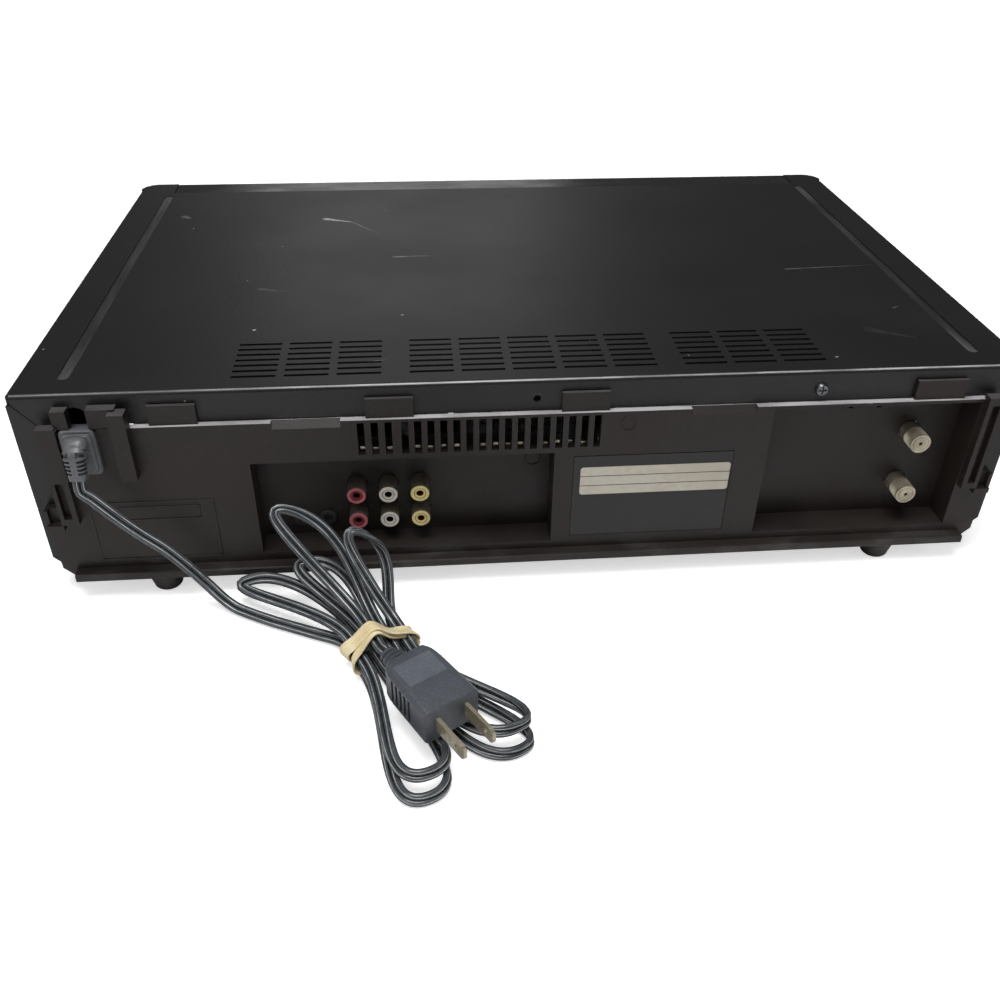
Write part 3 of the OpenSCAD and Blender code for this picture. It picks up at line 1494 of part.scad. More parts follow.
// A tube swept along points: one closed polyhedron
module tube(path, r, sides, start) {
  n = len(path);
  ways = [for (i = [0 : n - 1]) unit(path[min(i + 1, n - 1)] - path[max(i - 1, 0)])];
  ups = [for (i = 0, u = unit(cross(ways[0], start)); i < n; i = i + 1,
    u = i < n ? unit(u - (u * ways[i]) * ways[i]) : u) u];
  points = [for (i = [0 : n - 1], k = [0 : sides - 1]) let (v = cross(ways[i], ups[i]))
    path[i] + r * (cos(360 * k / sides) * ups[i] + sin(360 * k / sides) * v)];
  last = (n - 1) * sides;
  polyhedron(points, concat(
    [for (k = [1 : sides - 2]) [0, k, k + 1]],
    [for (i = [0 : n - 2], k = [0 : sides - 1]) let (m = (k + 1) % sides)
      [i * sides + k, (i + 1) * sides + k, (i + 1) * sides + m]],
    [for (i = [0 : n - 2], k = [0 : sides - 1]) let (m = (k + 1) % sides)
      [i * sides + k, (i + 1) * sides + m, i * sides + m]],
    [for (k = [1 : sides - 2]) [last, last + k + 1, last + k]]));
}

module cord_bushing() {
  half_x = 7.2;
  neck = cord_slot_r - seat_gap;
  color("#55565a")
    difference() {
      union() {
        block([cord_x - half_x, y_panel + 0.1, cord_z - 8.5], [cord_x + half_x, y_panel + 5.3, cord_z + 12.7]);
        block([cord_x - neck, y_panel - panel_t - 2.5, cord_z - 7.6],
          [cord_x + neck, y_panel + 0.2, cord_z + 11.5]);
        block([cord_x - half_x, y_panel - panel_t - 2.6, cord_z - 8.5],
          [cord_x + half_x, y_panel - panel_t - 0.1, cord_z + 11.5]);
        // Elbow and the tapered relief
        block([cord_x - 4.6, y_panel + 5, cord_z + 3], [cord_x + 4.6, y_panel + 12.4, cord_z + 12.7]);
        translate(relief_top)
          rotate([180 - atan(0.2), 0, 0]) {
            cylinder(r1 = 4.6, r2 = cord_r + 0.6, h = relief_l);
            for (i = [0 : 4])
              translate([0, 0, 3 + 2.2 * i])
                cylinder(r = 4.7 - 0.2 * i, h = 1.1);
          }
      }
      block([cord_x - half_x - 1, y_panel + 1.5, cord_z - 6.5], [cord_x - 5.4, y_panel + 6, cord_z + 1]);
    }
}

module power_cord_lead() {
  path = concat([lead_start, lead_start + (cord_d + 0.5) * relief_dir], lead_route,
    [lead_end - (cord_d + 0.5) * lead_dir, lead_end]);
  color("#4a4b4e")
    tube(path, cord_r, 10, [0, 1, 0]);
}

module power_cord_hank() {
  fine = hank_path(20);
  n = len(fine);
  echo(least_gap_of_the_hank = min([for (i = [0 : n - 9]) min([for (j = [i + 8 : n - 1])
    j - i > 14 || norm(fine[i] - fine[j]) > 3 * cord_d ? norm(fine[i] - fine[j]) : 99])]) - cord_d);
  color("#4a4b4e")
    tube(hank_path(6), cord_r, 6, [0, 0, 1]);
}

band_t = 1.2;
band_w = 11;

// Outline of the bundle inside the band, seen along the hank's axis, grown by g
module bundle_2d(g) {
  x = 1.5 * col_pitch + cord_r + 0.4 + g;
  z1 = cord_r + 1.5 + layer_pitch + cord_r + 0.2 + g / 2;
  z2 = cord_r + 1.5 + 2 * layer_pitch + cord_r + 0.4 + g;
  xp = col_pitch / 2;
  polygon([[-x, 1.4 - g + 1], [1 - x, 1.4 - g], [x - 1, 1.4 - g], [x, 1.4 - g + 1], [x, z1],
    [xp + 3.2, z2], [xp - 3.2, z2], [-x, z1]]);
}

module hank_band() {
  color("#d8be86")
    translate([waist[0], waist[1], 0])
      rotate([0, 0, hank_dir - 90])
        translate([0, band_w / 2, 0])
          rotate([90, 0, 0])
            linear_extrude(band_w)
              difference() {
                bundle_2d(band_t);
                bundle_2d(0);
              }
}

plug_relief_l = 13;
plug_z = strand(1, 1)[2] + cord_r + 0.3;   // underside of the plug, on the hank's loops
relief_end = strand(1, 2) + waist_half * ea + (cord_d + 1 + plug_relief_l) * plug_way;

module plug_body() {
  way = strand(1, 2) + waist_half * ea + (cord_d + 1) * plug_way;
  color("#232427") {
    translate(way)
      rotate([0, 90 - asin(plug_way[2]), plug_dir])
        for (i = [0 : 4])
          translate([0, 0, i * (plug_relief_l + 1) / 5])
            cylinder(r1 = cord_r + 0.9 + 0.25 * i, r2 = cord_r + 1.3 + 0.25 * i,
              h = i == 4 ? plug_relief_l / 5 + 1 : plug_relief_l / 5 - 0.5);
    translate(way)
      rotate([0, 90 - asin(plug_way[2]), plug_dir])
        cylinder(r = cord_r + 0.5, h = plug_relief_l);
    translate([relief_end[0], relief_end[1], plug_z])
      rotate([0, 0, plug_dir - 90])
        difference() {
          union() {
            linear_extrude(plug_h - 1.5)
              polygon([[3 - plug_w / 2, 0], [plug_w / 2 - 3, 0], [plug_w / 2 - 1, 6], [plug_w / 2, plug_l],
                [-plug_w / 2, plug_l], [1 - plug_w / 2, 6]]);
            translate([0, 0, plug_h - 1.6])
              linear_extrude(1.6)
                polygon([[4.5 - plug_w / 2, 1.5], [plug_w / 2 - 4.5, 1.5],
                  [plug_w / 2 - 1.5, plug_l - 1.5], [1.5 - plug_w / 2, plug_l - 1.5]]);
          }
          // Grooves along both sides
          for (s = [-1, 1], i = [0 : 4])
            translate([s * plug_w / 2, 9 + 3 * i, plug_h / 2])
              cube([3, 1.2, plug_h - 6], center = true);
        }
  }
}

module plug_blades() {
  blade_w = 6.4;
  color("#c8c2b0")
    translate([relief_end[0], relief_end[1], plug_z + plug_h / 2])
      rotate([0, 0, plug_dir - 90])
        for (s = [-1, 1])
          translate([s * 6.35 - 0.75, plug_l, -blade_w / 2])
            difference() {
              cube([1.5, blade_l, blade_w]);
              translate([-1, blade_l - 4, blade_w / 2])
                rotate([0, 90, 0])
                  cylinder(r = 1.6, h = 4);
              for (z = [-1, blade_w - 1])
                translate([-1, blade_l - 1, z])
                  cube([4, 2, 2]);
            }
}

// ---- Selection ----

top_cover();
chassis_frame();
rear_panel();
bottom_plate();
front_panel();
cassette_door();
display_window();
front_board();
power_button();
eject_button();
rewind_button();
play_button();
fast_forward_button();
stop_button();
pause_button();
record_button();
feet();
case_screws();
rca_shells();
rca_red();
rca_white();
rca_yellow();
rf_connectors();
tuner_can();
rating_label();
cord_bushing();
power_cord_lead();
power_cord_hank();
hank_band();
plug_body();
plug_blades();
main_board();
board_parts();
psu_board();
psu_parts();
mecha_chassis();
drum_lower();
drum_upper();
capstan_motor();
capstan();
pinch_arm();
pinch_roller();
supply_reel_table();
takeup_reel_table();
idler_arm();
idler_wheel();
supply_guide_base();
supply_loading_ring();
takeup_guide_base();
takeup_loading_ring();
supply_ring_gear();
takeup_ring_gear();
cam_gear();
motor_pinion();
loading_motor();
tape_heads();
tape_posts();
cassette_tray();
tray_slider();
tray_brackets();
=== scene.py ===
"""Video cassette recorder with its mains cord tied in a hank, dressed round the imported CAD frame."""
import json
import math

import bmesh
import bpy
import numpy as np
from bpy.props import FloatProperty, FloatVectorProperty
from mathutils import Matrix, Vector

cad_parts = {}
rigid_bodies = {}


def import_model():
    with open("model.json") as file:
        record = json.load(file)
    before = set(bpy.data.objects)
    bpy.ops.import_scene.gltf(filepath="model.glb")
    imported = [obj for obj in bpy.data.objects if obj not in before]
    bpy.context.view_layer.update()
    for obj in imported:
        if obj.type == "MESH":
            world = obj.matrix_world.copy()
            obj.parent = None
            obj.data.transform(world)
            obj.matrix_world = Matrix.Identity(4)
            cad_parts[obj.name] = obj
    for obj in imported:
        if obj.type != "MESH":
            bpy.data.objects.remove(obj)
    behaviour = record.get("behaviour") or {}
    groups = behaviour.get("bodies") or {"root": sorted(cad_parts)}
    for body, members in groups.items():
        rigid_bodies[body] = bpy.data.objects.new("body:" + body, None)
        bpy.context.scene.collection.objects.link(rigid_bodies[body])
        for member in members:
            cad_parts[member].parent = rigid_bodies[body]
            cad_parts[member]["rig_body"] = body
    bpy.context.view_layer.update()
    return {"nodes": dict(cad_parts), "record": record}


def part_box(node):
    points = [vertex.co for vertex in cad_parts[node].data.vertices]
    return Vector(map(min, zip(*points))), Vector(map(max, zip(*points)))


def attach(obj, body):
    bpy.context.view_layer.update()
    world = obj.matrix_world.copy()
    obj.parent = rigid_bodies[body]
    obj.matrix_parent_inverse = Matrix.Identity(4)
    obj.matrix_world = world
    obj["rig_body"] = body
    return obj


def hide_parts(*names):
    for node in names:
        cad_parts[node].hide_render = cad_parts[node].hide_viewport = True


bl_info = {
    "name": "Video Cassette Recorder",
    "version": (1, 0, 0),
    "blender": (4, 5, 0),
    "location": "View3D > Sidebar > Recorder",
    "description": "Builds the pieces and finishes of a front-loading video cassette recorder",
    "category": "Object",
}

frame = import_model()
MM = 0.001
TAU = 2 * math.pi
FINISH = {}


# ---- Colours and nodes ----

def colour(value):
    """Linear RGBA of an sRGB hex colour."""
    channels = [int(value[i:i + 2], 16) / 255 for i in (1, 3, 5)]
    return tuple(c / 12.92 if c <= 0.04045 else ((c + 0.055) / 1.055) ** 2.4 for c in channels) + (1.0,)


class Nodes:
    """A node tree, with short ways to fill it."""

    def __init__(self, tree):
        self.tree = tree

    def add(self, kind, inputs=None, **settings):
        """Adds a node with its settings; an input is a value or another node's output."""
        node = self.tree.nodes.new(kind)
        for key, value in settings.items():
            setattr(node, key, value)
        for key, value in (inputs or {}).items():
            if isinstance(value, bpy.types.NodeSocket):
                self.tree.links.new(value, node.inputs[key])
            else:
                node.inputs[key].default_value = value
        return node

    def maths(self, operation, *values, clamp=False):
        """One step of arithmetic on values or outputs."""
        return self.add("ShaderNodeMath", dict(enumerate(values)), operation=operation, use_clamp=clamp).outputs[0]

    def chain(self, operation, result, *values):
        """The same step of arithmetic on one value after the other."""
        for value in values:
            result = self.maths(operation, result, value)
        return result

    def times(self, *values):
        """The product of values or outputs."""
        return self.chain("MULTIPLY", *values)

    def most(self, *values):
        """The largest of values or outputs."""
        return self.chain("MAXIMUM", *values)

    def ramp(self, value, low, high, to_low=0.0, to_high=1.0):
        """A value taken smoothly from one range to another."""
        limits = {"Value": value, "From Min": low, "From Max": high, "To Min": to_low, "To Max": to_high}
        return self.add("ShaderNodeMapRange", limits, interpolation_type="SMOOTHSTEP").outputs["Result"]

    def between(self, value, low, high, soft):
        """1 where a value lies between two limits, with soft ends."""
        rise = self.ramp(value, low - soft, low + soft)
        return self.times(rise, self.ramp(value, high - soft, high + soft, 1.0, 0.0))

    def parts(self, vector):
        """The three numbers of a vector."""
        return self.add("ShaderNodeSeparateXYZ", {0: vector}).outputs

    def cloudy(self, vector, stretch, scale, detail):
        """Noise over stretched coordinates."""
        drawn = self.add("ShaderNodeMapping", {"Vector": vector, "Scale": stretch}).outputs[0]
        return self.add("ShaderNodeTexNoise", {"Vector": drawn, "Scale": scale, "Detail": detail}).outputs[0]


class Finish(Nodes):
    """A material in the making, with its shader and the object's coordinates."""

    def __init__(self, name, base, roughness, metallic=0.0, ior=1.5, **sockets):
        self.material = bpy.data.materials.new(name)
        self.material.use_nodes = True
        super().__init__(self.material.node_tree)
        self.shader = self.tree.nodes["Principled BSDF"]
        values = {"Base Color": colour(base), "Roughness": roughness, "Metallic": metallic}
        if not metallic:
            values["IOR"] = ior
        values.update((key.replace("_", " "), value) for key, value in sockets.items())
        for key, value in values.items():
            self.shader.inputs[key].default_value = value
        self.place = self.add("ShaderNodeTexCoord").outputs["Object"]

    def sets(self, **outputs):
        """Links outputs to the shader's sockets."""
        for key, output in outputs.items():
            self.tree.links.new(output, self.shader.inputs[key.replace("_", " ")])

    def mixed(self, factor, low, high):
        """A colour between two others, each a hex colour or an output."""
        low, high = (colour(c) if isinstance(c, str) else c for c in (low, high))
        return self.add("ShaderNodeMix", {0: factor, 6: low, 7: high}, data_type="RGBA").outputs[2]

    def noise(self, size_mm, detail=3.0, stretch=(1, 1, 1)):
        """Cloudy noise whose features are about size_mm across."""
        return self.cloudy(self.place, stretch, 1 / (size_mm * MM), detail)

    def bump(self, height, depth_mm, strength=1.0):
        """Bump from a height, in millimetres of depth."""
        bump = self.add("ShaderNodeBump", {"Height": height, "Distance": depth_mm * MM, "Strength": strength})
        self.sets(Normal=bump.outputs[0])


# ---- Materials ----

# Heights and depths where wear, dust, painted highlights and painted reflections show, in metres
COVER_REAR_EDGE_Y, COVER_REAR_EDGE_Z = (0.1353, 0.1359), (0.0992, 0.1010)
GROOVE_X, GROOVE_Z = (0.1934, 0.1979), (0.0975, 0.0994)
GROOVE_MIDDLE_Y = 0.006
LEDGE_TOP_Z, RIM_TOP_Z = (0.0848, 0.0862), (0.0170, 0.0190)

# Scratches on the cover: x and y of both ends and the width, in millimetres, and how pale each is
COVER_TOP = 100
SCRATCHES = (
    (99, -66, 84, -60, 2.2, 0.8), (83, -59, 69, -41, 0.8, 0.3), (-143, 24, -190, 21, 0.9, 0.2),
    (60, -5, 40, -5.5, 1.0, 0.35), (122.6, 80.8, 121.6, 80.2, 0.9, 0.9), (55.9, 68.7, 55, 68, 0.8, 0.6),
    (-179, 75, -183, 73, 0.8, 0.22), (-132.4, 124, -133.6, 123.6, 0.9, 0.7), (125, 34, 112, 38, 1.6, 0.1),
    (180, -74, 176, -71, 2.6, 0.2), (74, 116, 62, 114, 0.8, 0.2), (-158, 98, -176, 108, 3.0, 0.035))

# Where the cord's painted highlight lines start round its section, as parts of the way round, and how wide they are
CORD_HIGHLIGHT_STARTS, CORD_HIGHLIGHT_WIDTH = (0.356, 0.092, 0.592, 0.855), 0.014
CORD_TOP_GROOVE = 0.4808


def moulded(name, dark, light, roughness, grit_mm=1.4, depth_mm=0.05, **sockets):
    """A moulded or painted surface: cloudy tone, fine grit in the bump and uneven gloss."""
    f = Finish(name, dark, roughness, **sockets)
    clouds, grit = f.noise(38, 5), f.noise(grit_mm, 2)
    tone = f.maths("MULTIPLY_ADD", grit, 0.35, f.times(clouds, 0.65))
    f.sets(Base_Color=f.mixed(f.ramp(tone, 0.36, 0.64), dark, light),
           Roughness=f.ramp(clouds, 0.3, 0.7, roughness - 0.06, roughness + 0.08))
    f.bump(grit, depth_mm)
    return f


def scratch(f, x0, y0, x1, y1, width_mm):
    """1 on a scratch in the cover between two points, in millimetres."""
    start, end = Vector((x0, y0, COVER_TOP)) * MM, Vector((x1, y1, COVER_TOP)) * MM
    way = end - start
    offset = f.add("ShaderNodeVectorMath", {0: f.place, 1: start}, operation="SUBTRACT").outputs[0]
    along = f.add("ShaderNodeVectorMath", {0: offset, 1: way / way.length_squared}, operation="DOT_PRODUCT")
    part = f.maths("MULTIPLY", along.outputs["Value"], 1.0, clamp=True)
    foot = f.add("ShaderNodeVectorMath", {0: way, "Scale": part}, operation="SCALE").outputs[0]
    gap = f.add("ShaderNodeVectorMath", {0: offset, 1: foot}, operation="DISTANCE").outputs["Value"]
    thin = f.times(f.maths("SUBTRACT", 1.15, part), width_mm * MM)
    return f.maths("SUBTRACT", 1.0, f.maths("DIVIDE", gap, thin), clamp=True)


def textured_black_enamel():
    """Baked black enamel with a fine sandy grain on steel: soft grey sheen, bare steel where it has worn, and a
    painted reflection along the side grooves.
    """
    f = Finish("Textured black enamel on steel", "#1b1b1e", 0.42)
    x, y, z = f.parts(f.place)
    # The sand is about 0.3 mm and is drawn at 1.3 mm, so that it shows
    sand = f.noise(1.3, 2)
    base = f.mixed(f.ramp(f.noise(70, 6), 0.34, 0.68), "#0f0e10", "#141315")
    base = f.mixed(f.ramp(sand, 0.58, 0.8, 0.0, 0.45), base, "#2a2a2e")
    # Dust settled in specks
    cells = f.add("ShaderNodeTexVoronoi", {"Vector": f.place, "Scale": 75.0}).outputs
    pick = f.add("ShaderNodeSeparateColor", {0: cells["Color"]}).outputs[0]
    marks = f.times(f.ramp(cells["Distance"], 0.02, 0.045, 1.0, 0.0),
                    f.times(f.maths("GREATER_THAN", pick, 0.8), 0.45))
    # Bare steel on the rear edge and a few scratches; the pale streak on the floor of the side grooves is a painted
    # reflection, brightest towards its ends
    edge = f.times(f.between(y, *COVER_REAR_EDGE_Y, 0.0002), f.between(z, *COVER_REAR_EDGE_Z, 0.0002),
                   f.ramp(f.noise(9, 4, (0.25, 1, 1)), 0.36, 0.62, 0.3, 0.9), f.ramp(x, 0.06, 0.13, 1.0, 0.35))
    along = f.maths("ABSOLUTE", f.maths("SUBTRACT", y, GROOVE_MIDDLE_Y))
    painted_groove_reflection = f.times(f.ramp(along, 0.08, 0.117, 0.34, 1.0), f.ramp(f.noise(14, 5, (1, 0.25, 1)), 0.36, 0.60, 0.4, 1.0),
                    f.ramp(f.noise(1.2, 3, (1, 0.05, 1)), 0.35, 0.6, 0.5, 1.0),
                    f.ramp(along, 0.1185, 0.1195, 1.0, 0.0))
    groove = f.times(f.between(f.maths("ABSOLUTE", x), *GROOVE_X, 0.0002), f.between(z, *GROOVE_Z, 0.0002), painted_groove_reflection)
    for *line, paleness in SCRATCHES:
        marks = f.most(marks, f.times(scratch(f, *line), paleness))
    marks = f.times(marks, f.ramp(f.noise(2.2, 3), 0.3, 0.55, 0.35, 1.0))
    # Pale grey for worn steel, scratches and dust specks, and for the painted reflection in the grooves
    f.sets(Base_Color=f.mixed(f.most(edge, groove, marks), base, "#c4c3c1"),
           Roughness=f.ramp(f.noise(80, 3), 0.3, 0.7, 0.42, 0.48))
    f.bump(sand, 0.07, 0.8)
    return f


def moulded_black_abs():
    """ABS with a spark-eroded grain: brownish black, matt, with dust and a painted highlight on what faces up, mostly
    the ledge tops.
    """
    f = moulded("Spark-eroded black ABS", "#1a1412", "#241c18", 0.46, 1.2, ior=1.45)
    up = f.parts(f.add("ShaderNodeNewGeometry").outputs["Normal"])[2]
    high = f.parts(f.place)[2]
    # Faces turned up, mostly the ledge tops, go pale grey: partly dust, partly a painted highlight
    dust_and_highlight = f.times(f.ramp(up, 0.86, 0.97), f.ramp(f.noise(7, 5, (0.35, 1, 1)), 0.3, 0.62, 0.6, 1.0))
    ledge_and_rim_tops = f.times(f.most(f.between(high, *LEDGE_TOP_Z, 0.0003), f.between(high, *RIM_TOP_Z, 0.0004)),
                    f.ramp(high, 0.030, 0.080, 0.02, 1.0))
    dust_and_highlight = f.times(dust_and_highlight, f.most(ledge_and_rim_tops, f.ramp(high, 0.080, 0.085, 0.0, 0.14)))
    smudge = f.times(f.ramp(high, 0.012, 0.024, 1.0, 0.0),
                     f.ramp(f.noise(16, 5, (0.5, 1, 1)), 0.50, 0.70, 0.0, 0.07))
    base = f.shader.inputs["Base Color"].links[0].from_socket
    f.sets(Base_Color=f.mixed(f.most(dust_and_highlight, smudge), base, "#b4b2b4"))
    return f


def gloss_black_abs():
    """Polished ABS: near black with a clear, slightly wavy gloss and a few fine wipes."""
    f = moulded("Polished black ABS", "#101012", "#161618", 0.2, 3.0, 0.004)
    f.sets(Roughness=f.ramp(f.noise(12, 4, (0.4, 1, 1)), 0.4, 0.7, 0.2, 0.3))
    return f


def smoked_acrylic():
    """Smoked acrylic sheet: deep, nearly black, with a hard clean gloss."""
    f = Finish("Smoked acrylic", "#0b0f12", 0.06, ior=1.49, Coat_Weight=0.4, Coat_Roughness=0.03)
    f.sets(Roughness=f.ramp(f.noise(20, 5), 0.3, 0.7, 0.05, 0.12))
    return f


def sheet_steel(name, dark, light, roughness, lines_mm=1.1):
    """Rolled or turned metal: grey or yellow, with faint tool lines and cloudy gloss."""
    f = Finish(name, light, roughness, metallic=1.0)
    clouds, lines = f.noise(16, 4), f.noise(lines_mm, 3, (0.06, 1, 1))
    tone = f.maths("ADD", f.times(clouds, 0.6), f.times(lines, 0.4))
    f.sets(Base_Color=f.mixed(f.ramp(tone, 0.35, 0.65), dark, light),
           Roughness=f.ramp(tone, 0.3, 0.7, roughness + 0.1, roughness - 0.05))
    f.bump(lines, 0.012)
    return f


def cast_alloy():
    """Turned aluminium casting: pale, with the tool's fine rings and a sandy skin."""
    f = Finish("Turned cast aluminium", "#b9bbbe", 0.32, metallic=1.0)
    skin, rings = f.noise(0.9, 3), f.noise(0.8, 2, (0.1, 0.1, 1))
    f.sets(Base_Color=f.mixed(f.ramp(skin, 0.35, 0.7), "#a3a5a8", "#c6c8ca"),
           Roughness=f.ramp(rings, 0.3, 0.7, 0.24, 0.44))
    f.bump(rings, 0.02)
    return f


def worn_nickel():
    """Nickel plate gone dull: warm grey metal with brown tarnish in patches."""
    f = Finish("Dull nickel plate", "#a79f8c", 0.34, metallic=0.75)
    patch = f.noise(6, 3)
    f.sets(Base_Color=f.mixed(f.ramp(patch, 0.34, 0.7), "#a39a88", "#c4bba8"),
           Roughness=f.ramp(patch, 0.3, 0.7, 0.42, 0.3))
    f.bump(patch, 0.01)
    return f


def cord_vinyl():
    """Extruded PVC cord: slate grey, smooth and shiny along its length, with painted highlight lines along its lobes
    and painted shade in its grooves.
    """
    f = Finish("Extruded grey PVC", "#494d50", 0.24, ior=1.55)
    uv = f.add("ShaderNodeUVMap", uv_map="length").outputs[0]
    round_it = f.parts(uv)[1]
    pulled = f.cloudy(uv, (0.03, 9.0, 1.0), 2.2, 3.0)
    base = f.mixed(f.ramp(pulled, 0.35, 0.66), "#383c3f", "#55595c")
    # Painted highlights: thin pale lines along both faces of each conductor's lobe, broken up by noise
    line = f.most(*[f.between(round_it, start, start + CORD_HIGHLIGHT_WIDTH, 0.006) for start in CORD_HIGHLIGHT_STARTS])
    line = f.times(line, f.ramp(f.noise(9, 4), 0.34, 0.54, 0.35, 0.95))
    # Painted shade darkens the two grooves between the conductors
    off_top = f.maths("ABSOLUTE", f.maths("SUBTRACT", round_it, CORD_TOP_GROOVE))
    near_below = f.most(f.ramp(round_it, 0.02, 0.06, 1.0, 0.0), f.ramp(round_it, 0.92, 0.96))
    groove = f.times(f.most(f.ramp(off_top, 0.03, 0.085, 1.0, 0.0), near_below), 0.85)
    base = f.mixed(groove, base, "#121416")
    f.sets(Base_Color=f.mixed(line, base, "#cfd4d6"), Roughness=f.ramp(f.noise(7, 4), 0.3, 0.7, 0.18, 0.32))
    f.bump(pulled, 0.03)
    return f


def band_rubber():
    """Natural rubber strip: tan, waxy, with fine lines along it."""
    f = Finish("Natural tan rubber", "#dcc894", 0.5, ior=1.52, Subsurface_Weight=0.12,
               Subsurface_Radius=(0.003, 0.002, 0.001))
    uv = f.add("ShaderNodeUVMap", uv_map="length").outputs[0]
    lines = f.cloudy(uv, (0.05, 22.0, 1.0), 1.6, 4.0)
    tone = f.maths("ADD", f.times(lines, 0.5), f.times(f.noise(6, 4), 0.5))
    f.sets(Base_Color=f.mixed(f.ramp(tone, 0.36, 0.64), "#dcc795", "#f7ebc4"),
           Roughness=f.ramp(lines, 0.3, 0.7, 0.42, 0.6))
    f.bump(lines, 0.06)
    return f


def solder_mask():
    """Fibreglass board under solder mask: green with paler tracks beneath."""
    f = Finish("Green solder mask", "#1f4a2a", 0.3)
    tracks = f.add("ShaderNodeTexBrick", {
        "Vector": f.place, "Scale": 1.0, "Brick Width": 0.014, "Row Height": 0.0024, "Mortar Size": 0.0005,
        "Color1": (1, 1, 1, 1), "Color2": (0.8, 0.8, 0.8, 1), "Mortar": (0, 0, 0, 1)}).outputs["Color"]
    f.sets(Base_Color=f.mixed(f.times(tracks, 0.5), "#17381f", "#3b7a45"))
    f.bump(tracks, 0.03)
    return f


# Moulded finishes by slot: name, dark and light tone, roughness, size of the grit and depth of the bump in mm
MOULDED = {
    "key_plastic": ("Satin grey ABS", "#2b2b2f", "#35353a", 0.34, 1.0, 0.03),
    "red_plastic": ("Red polyamide", "#98484e", "#b46469", 0.38, 1.6, 0.02),
    "white_plastic": ("White polyamide", "#b9b3a8", "#cfcac0", 0.38, 1.6, 0.02),
    "yellow_plastic": ("Yellow polyamide", "#bcae68", "#d6ca8a", 0.38, 1.6, 0.02),
    "black_rubber": ("Black nitrile rubber", "#101011", "#1a1a1b", 0.62, 1.4, 0.05),
    "plug_vinyl": ("Moulded slate PVC", "#484c52", "#5a5e65", 0.42, 1.3, 0.05),
    "board_tan": ("Phenolic paper board", "#6f5228", "#8d6a38", 0.5, 2.0, 0.03),
    "component_black": ("Black epoxy and sleeving", "#18181a", "#26262a", 0.36, 1.2, 0.03),
    "label_film": ("Dark polyester film", "#141313", "#1c1a1a", 0.36, 3.0, 0.01),
    "relief_vinyl": ("Moulded mid-grey PVC", "#56575a", "#6c6d70", 0.4, 1.2, 0.05),
    "grip_vinyl": ("Ribbed slate PVC", "#757b86", "#8d93a0", 0.45, 1.0, 0.04),
    "white_film": ("White polyester film", "#bfb7a8", "#cdc6b8", 0.4, 2.4, 0.01),
    # Near-black for the insides of holes: painted shade
    "dark_hole": ("Carbon-black lining", "#060606", "#0b0b0b", 0.8, 2.0, 0.01),
    "print": ("Pale grey pad print", "#8f9296", "#a8abaf", 0.5, 2.0, 0.01),
    "burnished_abs": ("Burnished black ABS", "#050505", "#0b0a0a", 0.3, 1.2, 0.03),
    "deep_red": ("Dark red insulator", "#4a1014", "#611a1f", 0.5, 2.0, 0.01),
}

# Metal finishes by slot: name, dark and light tone, roughness and spacing of the lines in mm
METAL = {
    "zinc_steel": ("Zinc-plated steel sheet", "#8d9094", "#c2c5c8", 0.34),
    "polished_steel": ("Ground stainless steel", "#b6b8bb", "#d9dbdd", 0.14, 0.5),
    "brass_yellow": ("Turned brass", "#9c7f45", "#cdb272", 0.28, 0.7),
    "screw_black": ("Blackened screw steel", "#4a4b4e", "#7d7e82", 0.3),
}

# Nodes whose finish is closer to the photograph than their slot's
SHOWN_AS = {"plug_blades": "blade_metal", "rca_shells": "sleeve_metal"}


def make_materials():
    """All finishes by the record's slot names, and the few that the pieces made here add."""
    made = {
        "cover_metal": textured_black_enamel(),
        "black_plastic": moulded_black_abs(),
        "front_plastic": gloss_black_abs(),
        "smoked_window": smoked_acrylic(),
        "cast_alloy": cast_alloy(),
        "nickel_worn": worn_nickel(),
        "gear_plastic": moulded("Natural acetal", "#cfcbbd", "#dedacd", 0.36, 2.5, 0.01, Subsurface_Weight=0.08,
                                Subsurface_Radius=(0.002, 0.0018, 0.0014)),
        "cord_vinyl": cord_vinyl(),
        "band_rubber": band_rubber(),
        "board_green": solder_mask(),
        "blade_metal": moulded("Nickel-plated blade brass", "#9a917c", "#c4bca6", 0.3, 1.6, 0.01, Metallic=0.45),
        "sleeve_metal": moulded("Tarnished tin plate", "#4d463f", "#6f665b", 0.34, 1.6, 0.01, Metallic=0.45),
    }
    made.update((slot, moulded(*values)) for slot, values in MOULDED.items())
    made.update((slot, sheet_steel(*values)) for slot, values in METAL.items())
    return {slot: finish.material for slot, finish in made.items()}


# ---- Meshes ----

def placed(name, data):
    """A new object in the scene."""
    thing = bpy.data.objects.new(name, data)
    bpy.context.scene.collection.objects.link(thing)
    return thing


def piece(name, mesh, material, body="case", smooth=35):
    """A finished piece: its mesh in place, shaded smooth below an angle, riding on a body."""
    thing = placed(name, mesh)
    mesh.materials.clear()
    mesh.materials.append(FINISH[material])
    if smooth:
        mesh.shade_smooth()
        mesh.set_sharp_from_angle(angle=math.radians(smooth))
    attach(thing, body)
    return thing


def edited(mesh, change):
    """A mesh after a function has changed it as a bmesh."""
    work = bmesh.new()
    work.from_mesh(mesh)
    change(work)
    work.to_mesh(mesh)
    work.free()
    return mesh


def outward(work):
    """Turns all faces outward."""
    bmesh.ops.recalc_face_normals(work, faces=work.faces)


def skin(count, size, closed=False):
    """Faces over rings of as many points each, and over the two ends unless it closes on itself."""
    faces = []
    for i in range(count if closed else count - 1):
        a, b = i * size, (i + 1) % count * size
        faces += [(a + k, a + (k + 1) % size, b + (k + 1) % size, b + k) for k in range(size)]
    if not closed:
        faces += [tuple(range(size - 1, -1, -1)), tuple((count - 1) * size + k for k in range(size))]
    return faces


def mesh_of(name, points, faces):
    """A mesh of points and faces."""
    mesh = bpy.data.meshes.new(name)
    mesh.from_pydata([tuple(p) for p in points], [], faces)
    mesh.update()
    return mesh


